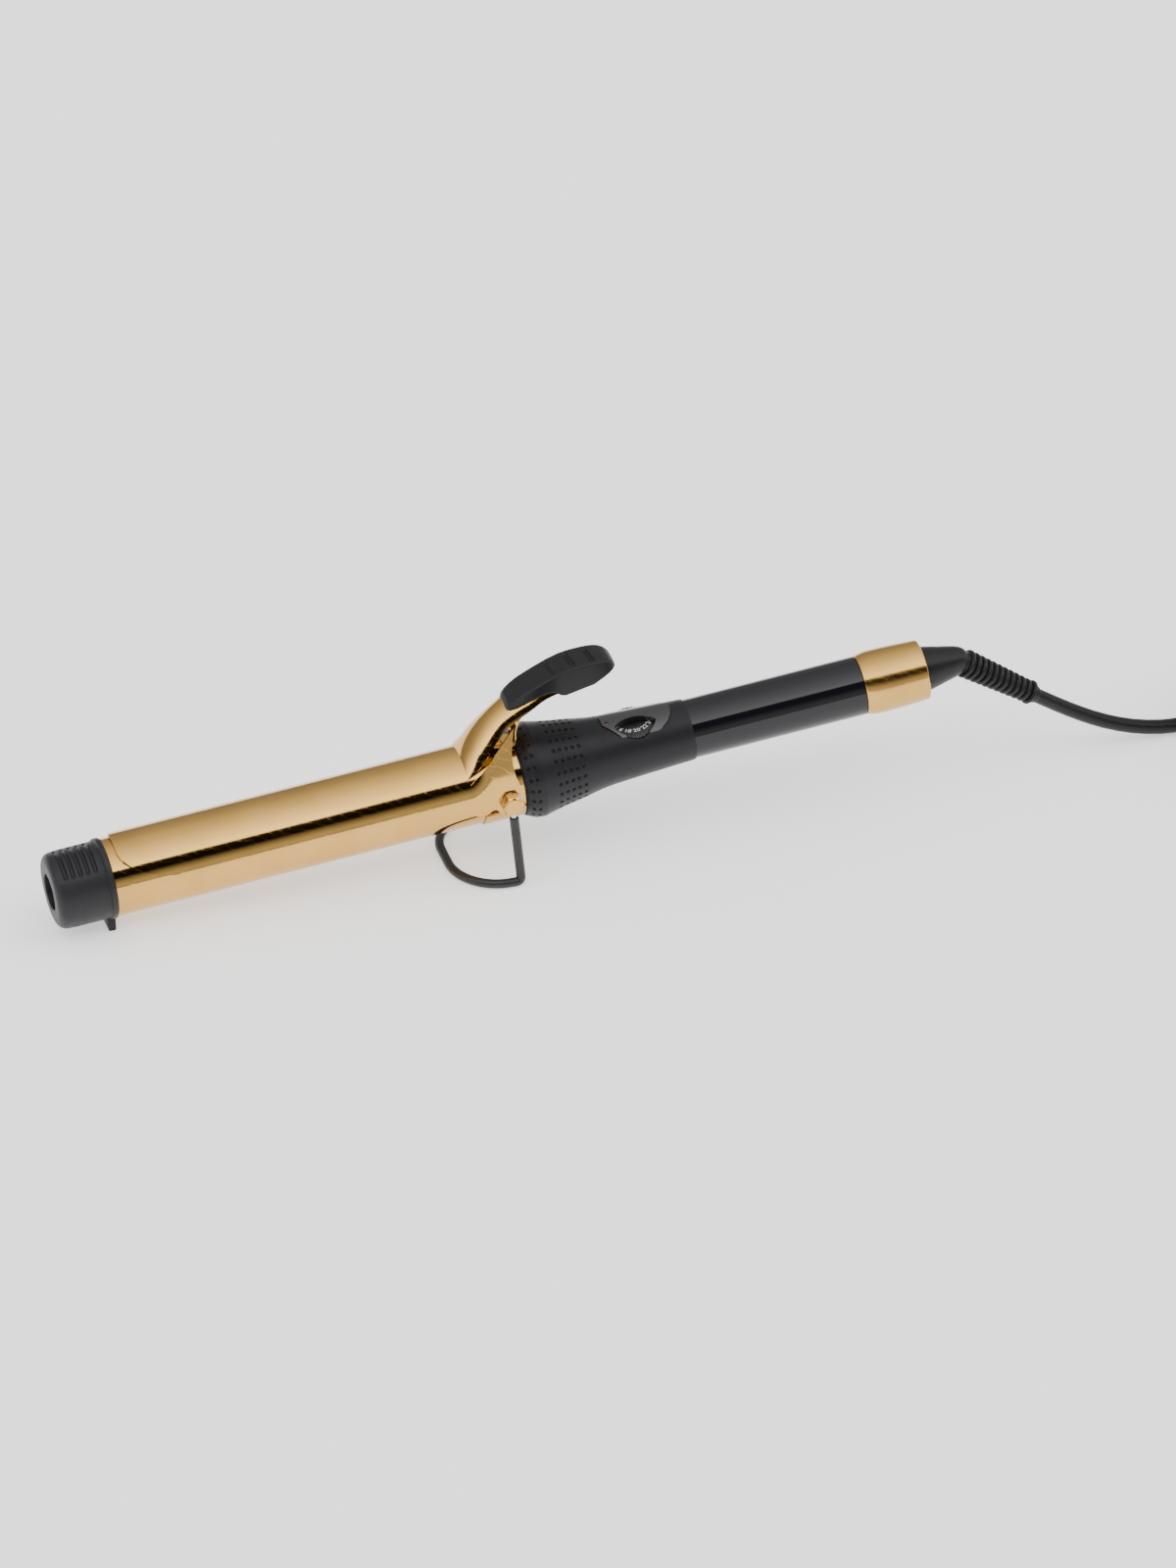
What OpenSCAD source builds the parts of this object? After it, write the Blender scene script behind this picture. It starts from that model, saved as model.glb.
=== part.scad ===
// Curling iron: a heated gold barrel with a sprung clamp, a fold-down wire stand, a handle with
// a heat dial and a swivelling mains cord. The iron lies as it is set down: on the small foot
// under its cool tip and on the loop of its stand, so the barrel slopes down to the tip.
// Barrel frame: +X along the barrel from its tip flange to the handle, +Z on the clamp's side.

/* [Barrel] */
// Outer diameter of the heated barrel
barrel_d = 32; // [24:1:40]
// Wall of the barrel tube
barrel_wall = 1; // [0.6:0.1:1.4]
// Length from the tip flange to the hinge of clamp and stand
hinge_s = 164; // [130:1:210]
// Length of the barrel tube that the handle holds, past the hinge
barrel_seat = 14; // [12.5:0.5:15]

/* [Cool tip] */
// Length of the cool tip in front of its flange
tip_len = 24; // [18:1:30]
// Depth of the foot below the barrel's underside
foot_drop = 4.5; // [3:0.5:7]
// Width of the foot
foot_w = 16; // [10:1:20]
// Diameter of the hollow in the tip's front face
tip_hollow_d = 15; // [10:1:16]

/* [Clamp] */
// Thickness of the clamp's sheet
clamp_t = 1; // [0.7:0.1:1.4]
// Gap between barrel and clamp
clamp_gap = 0.3; // [0.3:0.1:0.6]
// Angle that the clamp covers on each side of the barrel's top
clamp_angle = 77; // [60:1:80]
// Length of the clamp's rounded front corners
clamp_corner = 34; // [15:1:50]
// Height of the thumb rest above the barrel's axis
thumb_h = 48.7; // [44:0.5:54]
// Width of the thumb rest
thumb_w = 18; // [15:1:22]

/* [Stand] */
// Height of the hinge above the table when the stand is down
stand_h = 36; // [33:0.5:44]
// Diameter of the bare stand wire
wire_d = 2.2; // [1.8:0.1:2.6]
// Outer diameter of the sleeve on the stand wire
sleeve_d = 3.8; // [3.4:0.1:4.6]
// Half the width of the stand's loop
loop_half_w = 25; // [23:0.5:32]
// How far the loop reaches toward the tip
loop_reach = 24.5; // [22:0.5:30]

/* [Handle] */
// Length of the handle from the grip's front to its gold end collar
handle_len = 145; // [130:1:170]
// Diameter of the glossy handle tube
handle_d = 24; // [22:0.5:30]
// Height of the grip's rim above the barrel's surface
rim_h = 3.6; // [3:0.1:5]
// Length of the gold end collar
collar_len = 26.5; // [20:0.5:32]
// Wall of the handle's inner shells
shell_wall = 1.6; // [1.2:0.1:2]
// Diameter of the heat dial
dial_d = 19.6; // [19:0.2:20]
// Thickness of the heat dial
dial_t = 3; // [2:0.2:4]

/* [Cord] */
// Diameter of the mains cord
cord_d = 6; // [5:0.5:7]
// Length of a plug pin
pin_len = 19; // [16:0.5:22]
// Diameter of a plug pin
pin_d = 4.8; // [4:0.1:5]
// Distance between the plug pins
pin_pitch = 19; // [17:0.5:20]

/* [Hidden] */
$fn = 64;
eps = 0.01;
seat = 0.05;          // clearance of parts fixed together
turning = 0.08;       // clearance of parts that turn on each other
proud = 0.03;         // how far a ball at a bend stands out of the rods that it joins

gold = "goldenrod";
black = [0.08, 0.08, 0.09];
grey = [0.24, 0.24, 0.26];
steel = "silver";

// Barrel and clamp radii
barrel_r = barrel_d / 2;
bore_r = barrel_r - barrel_wall;
clamp_in = barrel_r + clamp_gap;
clamp_out = clamp_in + clamp_t;

// Stations along the barrel
clamp_s = 3.7;
crease_s = hinge_s - 15.5;
grip_s = hinge_s + 7;
barrel_end = hinge_s + barrel_seat;
tube_s = grip_s + 72;
collar_s = grip_s + handle_len;
end_s = collar_s + collar_len;
core_end = end_s - 7;

// Rest on the foot and the stand: slope of the barrel and height of its axis at the flange
foot_s = -2;
foot_z = barrel_r + foot_drop;
slope = asin(stand_h / norm([hinge_s - foot_s, foot_z])) - atan2(foot_z, hinge_s - foot_s);
axis_z = foot_z * cos(slope) - foot_s * sin(slope);
middle_x = 183.5;
hinge_x = hinge_s * cos(slope) - middle_x;

// Lever: its crown follows one arc through three points of the side view
crown_a = [crease_s, clamp_out - 0.3];
crown_b = [hinge_s + 3.5, thumb_h - 13.1];
crown_c = [hinge_s + 38, thumb_h - 3.2];
function meet(a, b, c) = let (
    d = 2 * (a.x * (b.y - c.y) + b.x * (c.y - a.y) + c.x * (a.y - b.y)),
    aa = a * a, bb = b * b, cc = c * c)
    [(aa * (b.y - c.y) + bb * (c.y - a.y) + cc * (a.y - b.y)) / d,
     (aa * (c.x - b.x) + bb * (a.x - c.x) + cc * (b.x - a.x)) / d];
crown_m = meet(crown_a, crown_b, crown_c);
crown_r = norm(crown_a - crown_m);
function crown_angle(p) = atan2(p.y - crown_m.y, p.x - crown_m.x);
function crown_point(angle, drop = 0) = crown_m + (crown_r - drop) * [cos(angle), sin(angle)];
lever_a0 = crown_angle(crown_c);
lever_a1 = crown_angle(crown_a);
arch_r = 11;
arch_half = 58;

// Heater
heater_s = 14;
heater_len = hinge_s - 40;
heater_w = 22;
heater_t = 2.4;
spreader_r = bore_r - 0.1;
fuse_r = 2;
sensor_r = 1.2;

// Hinge stack outward from the barrel
cheek_in = clamp_in;
cheek_out = clamp_out;
boss_face = cheek_out + 0.3;
boss_r = 6.4;
stud_r = 2;
washer_y = boss_face + 0.1;
washer_t = 0.5;
nut_y = washer_y + washer_t + 0.1;
nut_w = 4;
nut_r = 4.8;
wire_y = nut_y + nut_w / 2;

// Stand
wire_r = wire_d / 2;
sleeve_r = sleeve_d / 2;
sleeve_gap = 2.9;     // bare wire between the pivot and the sleeve
corner_r = 20;
leg_foot = [hinge_x + 2, loop_half_w, sleeve_r];
front_x = leg_foot.x - loop_reach;

// Handle profile: stations after the grip's front and radii
tube_r = handle_d / 2;
core_r = tube_r - 1.5;
rim_r = barrel_r + rim_h;
waist_r = (barrel_r + tube_r) / 2 + 2.3;
grip_outline = [[barrel_r + 1.5, 0], [rim_r - 0.4, 4], [rim_r, 7.6], [waist_r, 25],
    [tube_r + 2.3, 37], [tube_r + 1.4, 53], [tube_r + 0.5, 72]];
core_waist = waist_r - 2.1;
core_outline = [[barrel_r + 1.2, 1], [barrel_r + 1.2, 8.5], [core_waist, 25],
    [tube_r + 0.4, 37], [core_r + 0.9, 53], [core_r, 72]];

// Control panel, dial and light on top of the grip
panel_s = grip_s + 37;
panel_len = 28;
panel_w = 18;
panel_floor = tube_r - 3;
dial_s = grip_s + 50;
dial_r = dial_d / 2;
dial_z = tube_r - 0.9;
window_r = 12.6;
window_near = -1.4;   // where the opening starts on the near side
window_far = 7.2;     // and the small one on the far side
light_s = grip_s + 39;
light_y = -2.2;
light_r = 0.8;
board_z = 1;
board_t = 1.6;
axle_r = 1.5;

// Swivel, strain relief and cord
hub_r = 7;
hub_s = end_s - 8;
neck_s = end_s + 15;
relief_drop = 41;
relief_len = 41;
relief_end = [neck_s + relief_len * cos(relief_drop), -relief_len * sin(relief_drop)];
cord_r = cord_d / 2;
coil_columns = 3;
coil_in = 25;
coil_out = coil_in + (coil_columns - 1) * 1.025 * cord_d;
coil_h = 3.8 * cord_d;
coil_x = 315;
coil_side = 12;       // how far the cord swings aside on its way into the coil
coil_y = coil_side - coil_out;
cord_points = [[201.5, 0, 33.3], [206, 0, 30.1], [214, 0, 24.4], [224, 0, 17.8],
    [235, 0, 11.6], [247, 0, 6.7], [259, 0, 3.9], [269, 0.5, 3.1],
    [coil_x - 36, 2.7, 3.1], [coil_x - 25, 6.2, 3.1], [coil_x - 13, 10.2, 3.1],
    [coil_x, coil_side, 3.1]];
plug_at = [coil_x - coil_in, coil_y, coil_h + 7.2];
tail_low = coil_h + cord_r + 0.2;
tail_points = [for (i = [0:10]) [coil_x + coil_in * cos(18 * i), coil_y - coil_in * sin(18 * i),
    tail_low + (plug_at.z - tail_low) * i / 10]];

module place() { translate([-middle_x, 0, axis_z]) rotate([0, -slope, 0]) children(); }
module turned(outline, s = 0, fn = 96)
    translate([s, 0, 0]) rotate([0, 90, 0]) rotate_extrude($fn = fn) polygon(outline);
module rod_x(r, s0, s1, y = 0, z = 0, fn = 48)
    translate([s0, y, z]) rotate([0, 90, 0]) cylinder(r = r, h = s1 - s0, $fn = fn);
module rod_y(r, s, y0, y1, z = 0, fn = 48)
    translate([s, y0, z]) rotate([-90, 0, 0]) cylinder(r = r, h = y1 - y0, $fn = fn);
module rod_z(r, s, y, z0, z1, fn = 48)
    translate([s, y, z0]) cylinder(r = r, h = z1 - z0, $fn = fn);
module both_sides() { children(); mirror([0, 1, 0]) children(); }
// A side view, points as [s, z], given thickness from y0 to y1
module side(points, y0, y1)
    translate([0, y1, 0]) rotate([90, 0, 0]) linear_extrude(y1 - y0) polygon(points);
// A rod between two points
module rod(a, b, r) {
    d = b - a;
    translate(a) rotate([0, acos(d.z / norm(d)), atan2(d.y, d.x)])
        cylinder(r = r, h = norm(d), $fn = 32);
}
function arc(c, r, a0, a1, n) =
    [for (i = [0:n]) let (a = a0 + (a1 - a0) * i / n) c + r * [cos(a), sin(a)]];

// ---- barrel and tip

module cool_tip() color(grey) place() difference() {
    union() {
        turned(concat([[0, 0], [0, -tip_len]],
            arc([barrel_r - 4.2, 4 - tip_len], 4, -90, 0, 6),
            [[barrel_r, 7.5 - tip_len], [barrel_r, -2.5], [barrel_r + 0.6, -2.2],
             [barrel_r + 0.6, 0], [bore_r - seat, 0], [bore_r - seat, 8], [0, 8]]));
        intersection() {
            turned([[0, -3], [barrel_r + 1.3, -3], [barrel_r + 1.3, -0.3], [0, -0.3]]);
            translate([-5, -4, 0]) cube([6, 8, barrel_r + 5]);
        }
        // Foot, level underneath while the barrel slopes
        side([[foot_s - 2, 5 - foot_z], [foot_s - 1.6, 1.6 * tan(slope) - foot_z],
            [foot_s + 1.6, -1.6 * tan(slope) - foot_z], [foot_s + 2, 5 - foot_z]],
            -foot_w / 2, foot_w / 2);
    }
    rod_x(tip_hollow_d / 2, -tip_len - 1, 4 - tip_len);
    rod_x(2.4, -tip_len, 9);
    rod_x(4.2, -tip_len, 8.5 - tip_len);
    for (i = [0:4]) rod_y(0.8, -6 - 3.1 * i, -8, 8, barrel_r - 0.5, 24);
    side([[-tip_len - 1, barrel_r - 1], [-4, barrel_r - 1], [-4, barrel_r + 3],
        [-tip_len - 1, barrel_r + 3]], -barrel_r, barrel_r);
}

module tip_screw() color(steel) place() difference() {
    union() {
        rod_x(3.6, 6 - tip_len, 8.5 - tip_len);
        rod_x(2, 8.5 - tip_len - eps, 12);
    }
    for (a = [0, 90]) translate([6 - tip_len, 0, 0]) rotate([a, 0, 0])
        translate([-eps, -2.2, -0.45]) cube([1.3, 4.4, 0.9]);
}

module barrel() color(gold) place() difference() {
    rod_x(barrel_r, 0.1, barrel_end, fn = 96);
    rod_x(bore_r, -1, barrel_end + 1, fn = 96);
    rod_y(stud_r + seat, hinge_s, -barrel_r - 1, barrel_r + 1);
}

module front_bulkhead() color(steel) place() difference() {
    rod_x(bore_r - seat, 8.2, 11.2);
    rod_x(2 + seat, 8, 12);
}

// ---- heater

module heat_spreader(top) place() difference() {
    rod_x(spreader_r, heater_s, heater_s + heater_len, fn = 96);
    translate([heater_s - 1, -barrel_d, top ? -barrel_d : -heater_t / 2 - seat])
        cube([heater_len + 2, 2 * barrel_d, barrel_d + heater_t / 2 + seat]);
    rod_x(top ? fuse_r + seat : sensor_r + seat, heater_s - 1, heater_s + heater_len + 1,
        z = top ? spreader_r * 0.55 : -spreader_r * 0.55);
}
module heat_spreader_upper() color("gainsboro") heat_spreader(true);
module heat_spreader_lower() color("gainsboro") heat_spreader(false);
module heater_plate() color("white") place()
    translate([heater_s + 4, -heater_w / 2, -heater_t / 2])
        cube([heater_len - 8, heater_w, heater_t]);
module thermal_fuse() color("tan") place()
    rod_x(fuse_r, heater_s + heater_len - 16, heater_s + heater_len - 4, z = spreader_r * 0.55);
module temperature_sensor() color("orange") place()
    rod_x(sensor_r, heater_s + heater_len / 2, heater_s + heater_len / 2 + 5,
        z = -spreader_r * 0.55);

// ---- hinge on the barrel

module hinge_band() color(gold) place() difference() {
    rod_x(barrel_r + 0.9, hinge_s - 10.5, grip_s - 0.6, fn = 96);
    rod_x(barrel_r + seat, 0, barrel_end, fn = 96);
    translate([hinge_s - 12, -barrel_d, -5]) cube([30, 2 * barrel_d, 2 * barrel_d]);
}

module pivot_studs() color(steel) place() both_sides() {
    rod_y(stud_r, hinge_s, bore_r - 1.8, nut_y + nut_w - 1.4);
    rod_y(stud_r + 1.4, hinge_s, bore_r - 2.6, bore_r - 0.5);
}

module heat_ring() color(black) place() difference() {
    rod_x(barrel_r + 0.7, grip_s - 0.4, grip_s + 0.8, fn = 96);
    rod_x(barrel_r + seat, grip_s - 2, grip_s + 2, fn = 96);
}

// ---- handle

module core() {
    difference() {
        turned(concat([[barrel_r + seat, 1]], core_outline,
            [[core_r, core_end - grip_s], [core_r - shell_wall, core_end - grip_s],
             [core_r - shell_wall, 72], [core_r + 0.9 - shell_wall, 53],
             [tube_r + 0.4 - shell_wall, 37], [core_waist - shell_wall, 25],
             [bore_r, barrel_end - grip_s + 1.2], [bore_r, barrel_end - grip_s],
             [barrel_r + seat, barrel_end - grip_s]]), grip_s);
        // Window under the control panel
        translate([panel_s - 0.2, -panel_w / 2 - 0.2, tube_r * 0.4])
            cube([panel_len + 1.4, panel_w + 0.4, barrel_d]);
        // Screw holes from the near side, through both shells
        for (s = core_screw_s) rod_y(1.6, s, -barrel_d, barrel_d);
    }
    // Screw pillars, and ledges that hold the circuit board
    difference() {
        intersection() {
            turned(concat([[0, 1]], core_outline, [[core_r, core_end - grip_s],
                [0, core_end - grip_s]]), grip_s);
            union() {
                for (s = core_screw_s) rod_y(3, s, -barrel_d, barrel_d);
                both_sides() for (s = [panel_s - 4, panel_s + panel_len + 5])
                    translate([s, 6, board_z - 2.1]) cube([3, barrel_d, 2]);
            }
        }
        for (s = core_screw_s) rod_y(1.6, s, -barrel_d, barrel_d);
    }
}
core_screw_s = [tube_s + 8, tube_s + 60];
module core_half(m) color(black) place() difference() {
    core();
    translate([grip_s - 10, m ? 0.02 - barrel_d : -0.02, -barrel_d])
        cube([handle_len + 60, barrel_d, 2 * barrel_d]);
    // The pillars stop at the joint, and the near shell keeps room for the screw heads
    if (!m) for (s = core_screw_s) rod_y(2.7, s, -barrel_d, -core_r + 3);
}
module handle_core_left() core_half(false);
module handle_core_right() core_half(true);

module core_screws() color(steel) place() for (s = core_screw_s) {
    rod_y(2.6, s, -core_r + 1.4, -core_r + 3);
    rod_y(1.55, s, -core_r + 3 - eps, core_r - 4);
}

// Outline of the panel seen from above, pointed at the front and round at the rear
module panel_outline(grow = 0) {
    translate([panel_s, 0]) polygon(concat(
        [[-grow, -3 - grow], [6 - grow / 2, -panel_w / 2 - grow]],
        arc([panel_len - 8, 0], panel_w / 2 + grow, -90, 90, 12),
        [[6 - grow / 2, panel_w / 2 + grow], [-grow, 3 + grow]]));
}
module grip_skin(extra = 0) turned(concat(
    [[0, 0]], [for (p = grip_outline) [p.x + extra, p.y]], [[0, 72]]), grip_s);

module front_grip() color(grey) place() difference() {
    turned(concat(grip_outline, [[core_r + seat, 72], [core_r + 0.9 + seat, 53],
        [tube_r + 0.4 + seat, 37], [core_waist + seat, 25], [barrel_r + 1.2 + seat, 8.5],
        [barrel_r + 1.2 + seat, 1], [barrel_r + 0.8 + seat, 1], [barrel_r + 0.8 + seat, 0]]),
        grip_s);
    linear_extrude(barrel_d) panel_outline(0.1);
    dial_slot();
}
// Room for the dial, whose rim stands out of the grip's sides for the thumb
module dial_slot() rod_z(dial_r + 0.35, dial_s, 0, dial_z - dial_t - 0.3, dial_z + 0.25);
// Opening that shows the dial's numbers
module dial_window() intersection() {
    rod_z(dial_r + 0.35, dial_s, 0, dial_z, barrel_d);
    union() {
        rod_z(window_r, dial_s, window_near - window_r, dial_z - 1, barrel_d);
        rod_z(window_r, dial_s, window_far + window_r, dial_z - 1, barrel_d);
    }
}

module control_panel() color(black) place() difference() {
    intersection() {
        grip_skin(0.5);
        translate([0, 0, panel_floor]) linear_extrude(barrel_d) panel_outline();
    }
    dial_slot();
    dial_window();
    rod_z(light_r + seat, light_s, light_y, 0, barrel_d);
}

module light_lens() color("red") place()
    rod_z(light_r, light_s, light_y, panel_floor, tube_r + 2.3, 24);
module power_led() color("white") place()
    rod_z(1.5, light_s, light_y, board_z + board_t, dial_z - dial_t - 0.5, 24);

module circuit_board() color("darkgreen") place() difference() {
    translate([panel_s - 6, -7.6, board_z]) cube([panel_len + 16, 15.2, board_t]);
    rod_z(axle_r + 0.4, dial_s, 0, 0, 5);
}

module rheostat() color("steelblue") place() difference() {
    rod_z(6, dial_s, 0, board_z + board_t, dial_z - dial_t - 0.5);
    rod_z(axle_r + turning, dial_s, 0, 0, 12);
}

module dial() color(black) place() difference() {
    rod_z(dial_r, dial_s, 0, dial_z - dial_t, dial_z);
    rod_z(axle_r, dial_s, 0, 0, dial_z - 1);
    for (a = [0:10:350]) rotate_about(dial_s, a)
        rod_z(0.35, dial_s + dial_r, 0, 0, barrel_d, 16);
}
module rotate_about(s, a) translate([s, 0, 0]) rotate([0, 0, a]) translate([-s, 0, 0]) children();
module dial_axle() color(steel) place()
    rod_z(axle_r - 0.02, dial_s, 0, board_z + board_t + 0.4, dial_z - 1.02);

module handle_tube() color(black) place() difference() {
    rod_x(tube_r, tube_s + 0.1, collar_s - 0.1, fn = 96);
    rod_x(core_r + seat, tube_s - 1, collar_s + 1, fn = 96);
}

module end_collar() color(gold) place() turned([[tube_r, 0], [tube_r + 0.95, 4.6],
    [tube_r + 0.3, collar_len - 0.8], [tube_r - 0.4, collar_len], [tube_r - 1.6, collar_len],
    [tube_r - 1.6, collar_len - 1.6], [core_r + seat, collar_len - 1.6], [core_r + seat, 0]],
    collar_s);

module swivel_socket() color(grey) place() difference() {
    rod_x(core_r - shell_wall - seat, hub_s - 4, core_end);
    rod_x(hub_r + turning, hub_s - 2.2, end_s);
    rod_x(2.6, hub_s - 5, end_s);
}

// Two leads from the heater to the board
module heater_leads() color("white") place() both_sides()
    rod_x(0.9, heater_s + heater_len + 0.2, panel_s - 6.2, 4.5, board_z + 0.8, 24);

// ---- clamp

// Side view of the clamp's curved front corner, from the top down to its lower edge
function corner_s(a) = clamp_s + clamp_corner
    * (1 - sqrt(max(0, 1 - pow(max(0, a - 20) / (clamp_angle - 20), 2))));
clamp_side = concat(
    [for (i = [0:18]) let (a = clamp_angle * i / 18) [corner_s(a), clamp_out * cos(a)]],
    [[crease_s, clamp_out * cos(clamp_angle)], [crease_s, clamp_out + 1], [clamp_s, clamp_out + 1]]);
module clamp_shell(s0, s1) difference() {
    rod_x(clamp_out, s0, s1, fn = 96);
    rod_x(clamp_in, s0 - 1, s1 + 1, fn = 96);
}
module clamp_plate() color(gold) place() intersection() {
    clamp_shell(clamp_s, crease_s);
    side(clamp_side, -barrel_d, barrel_d);
}

// Arched section swept round the crown's centre
module clamp_lever() color(gold) place() difference() {
    translate([crown_m.x, 0, crown_m.y]) rotate([90, 0, 0])
        rotate([0, 0, lever_a0]) rotate_extrude(angle = lever_a1 - lever_a0, $fn = 160)
            translate([crown_r - arch_r, 0]) polygon(concat(
                arc([0, 0], arch_r, -arch_half, arch_half, 16),
                arc([0, 0], arch_r - clamp_t, arch_half, -arch_half, 16)));
    rod_x(clamp_out, crease_s - 20, crease_s, fn = 96);
    rod_x(clamp_in, crease_s - 20, crease_s + 20, fn = 96);
    at_rivets() cylinder(r = rivet_r + seat, h = 9, center = true, $fn = 32);
}

strut_low = [hinge_s - 8.5, hinge_s + 3];
strut_top = crown_point(crown_angle(crown_b), arch_r * (1 - cos(arch_half)) + 1);
strut_y = arch_r * sin(arch_half) + 0.02;
module strut() hull() {
    translate([strut_low[0], cheek_in, 6.6]) cube([strut_low[1] - strut_low[0], clamp_t, 1]);
    translate([strut_top.x - 1.5, strut_y, strut_top.y - 1.2]) cube([3.5, clamp_t, 2]);
}
cheek_side = concat(
    [[crease_s - 5.5, 0], [crease_s - 5.5, 3.8], [crease_s, 3.8], [crease_s, 9.7],
     [strut_low[0] - 1, 11], [strut_low[0], 7], [strut_low[1], 7]],
    arc([hinge_s, 0], boss_r, 45, -150, 12),
    [[hinge_s - 8.5, -2.5], [hinge_s - 11, -4], [hinge_s - 14, -2.6]]);
module hinge_yoke() color(gold) place() both_sides() difference() {
    union() {
        // Rolled part that carries on from the clamp, above the axis
        intersection() {
            clamp_shell(crease_s, strut_low[0] + 2);
            side([[crease_s, 0], [crease_s, 9.7], [strut_low[0] + 2, 12.5],
                [strut_low[0] + 2, 0]], 0, barrel_d);
        }
        // Flat cheek
        intersection() {
            side(cheek_side, cheek_in, cheek_out);
            translate([crease_s - 4, 0, -20]) cube([60, barrel_d, 27]);
        }
        strut();
        rod_y(boss_r - 1, hinge_s, cheek_in, boss_face);
    }
    rod_y(stud_r + turning, hinge_s, 0, barrel_d);
    // Keeps clear of the clamp's own edge in front of the crease
    rod_x(clamp_out + seat, 0, crease_s, fn = 96);
}

thumb_side = [[hinge_s + 4.5, thumb_h - 13.6], [hinge_s + 6, thumb_h - 11.1],
    [hinge_s + 13, thumb_h - 6.7], [hinge_s + 21, thumb_h - 3.6], [hinge_s + 31.4, thumb_h - 0.5],
    [hinge_s + 41, thumb_h], [hinge_s + 47, thumb_h - 0.7], [hinge_s + 51, thumb_h - 2.9],
    [hinge_s + 51.7, thumb_h - 4.2], [hinge_s + 41.5, thumb_h - 9.1], [hinge_s + 29, thumb_h - 11],
    [hinge_s + 26, thumb_h - 10.5], [hinge_s + 25, thumb_h - 9.6], [hinge_s + 19, thumb_h - 9.2],
    [hinge_s + 11, thumb_h - 11.4], [hinge_s + 6, thumb_h - 14.2]];
module thumb_rest() color(black) place() difference() {
    intersection() {
        side(thumb_side, -thumb_w / 2, thumb_w / 2);
        linear_extrude(3 * thumb_h) polygon(concat(
            arc([hinge_s + 16, 0], 12, 130, 230, 8),
            [[hinge_s + 14, -thumb_w / 2], [hinge_s + 46, -thumb_w / 2]],
            arc([hinge_s + 44, 0], 8, -45, 45, 6),
            [[hinge_s + 46, thumb_w / 2], [hinge_s + 14, thumb_w / 2]]));
    }
    // Channel for the lever
    translate([crown_m.x, 0, crown_m.y]) rotate([90, 0, 0]) rotate([0, 0, lever_a0 - 1])
        rotate_extrude(angle = 90, $fn = 160) translate([crown_r - arch_r, 0]) polygon(concat(
            arc([0, 0], arch_r + seat, -arch_half - 1, arch_half + 1, 16),
            [[-8, arch_r * sin(arch_half + 1)], [-8, -arch_r * sin(arch_half + 1)]]));
    for (p = [[26, 1.7], [34, 0.1], [42, -0.2]])
        rod_y(0.8, hinge_s + p[0], -thumb_w, thumb_w, thumb_h - p[1], 24);
}
rivets = [crown_angle([hinge_s + 26, thumb_h - 5.5]), crown_angle([hinge_s + 34, thumb_h - 4])];
rivet_r = 1.2;
module at_rivets() for (r = rivets)
    translate([crown_point(r).x, 0, crown_point(r).y]) rotate([0, 90 - r, 0]) children();
module thumb_rivets() color(steel) place() at_rivets() translate([0, 0, -clamp_t - 1.3]) {
    cylinder(r = rivet_r, h = clamp_t + 1.2, $fn = 32);
    cylinder(r = 2, h = 0.9, $fn = 32);
}

// Leaf spring from the barrel's top, in front of the grip, up to the lever's underside
spring_t = 0.6;
spring_line = [[hinge_s + 3, barrel_r + 0.6], [hinge_s + 5.6, barrel_r + 1],
    [hinge_s + 6.2, barrel_r + 3.5], [hinge_s + 8, barrel_r + 9], [hinge_s + 12, barrel_r + 15.5],
    [hinge_s + 17, thumb_h - 12.6], crown_point(crown_angle([hinge_s + 22, thumb_h - 8]), 2)];
module clamp_spring() color(gold) place() side(concat(
    [for (p = spring_line) p],
    [for (i = [len(spring_line) - 1:-1:0]) spring_line[i] + spring_t * [0.55, i > 1 ? -0.8 : -0.5]]),
    -4.5, 4.5);

// ---- stand

wire_top = [hinge_x, wire_y, stand_h - stud_r - turning - 0.6];
leg_line = (wire_top - leg_foot) / norm(wire_top - leg_foot);
module wire_path(r, up) {
    rod(wire_top + up * leg_line, leg_foot, r);
    translate(leg_foot) sphere(r = r + proud, $fn = 32);
    rod(leg_foot, [front_x + corner_r, loop_half_w, sleeve_r], r);
    translate([front_x + corner_r, loop_half_w - corner_r, sleeve_r]) rotate([0, 0, 90])
        rotate_extrude(angle = 90, $fn = 96) translate([corner_r, 0]) circle(r = r, $fn = 32);
    rod([front_x, loop_half_w - corner_r, sleeve_r], [front_x, -eps, sleeve_r], r);
}
module stand_wire() color(steel) both_sides() wire_path(wire_r, 0);
module stand_sleeve() color(black) difference() {
    both_sides() wire_path(sleeve_r, -sleeve_gap);
    both_sides() wire_path(wire_r + seat, 1);
}
module stand_bosses() color(gold) both_sides() difference() {
    translate([hinge_x, 0, stand_h]) {
        rotate([-90, 0, 0]) translate([0, 0, nut_y]) cylinder(r = nut_r, h = nut_w - 0.8, $fn = 6);
        rod_y(3.6, 0, nut_y + nut_w - 0.8, nut_y + nut_w);
    }
    translate([hinge_x, 0, stand_h]) rod_y(stud_r + turning, 0, nut_y - 1, nut_y + nut_w - 1);
    rod(wire_top + 0.3 * leg_line, leg_foot, wire_r + seat);
}
module pivot_washers() color(steel) place() both_sides() difference() {
    rod_y(4.6, hinge_s, washer_y, washer_y + washer_t);
    rod_y(stud_r + turning, hinge_s, 0, barrel_d);
}

// ---- swivel and cord

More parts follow.
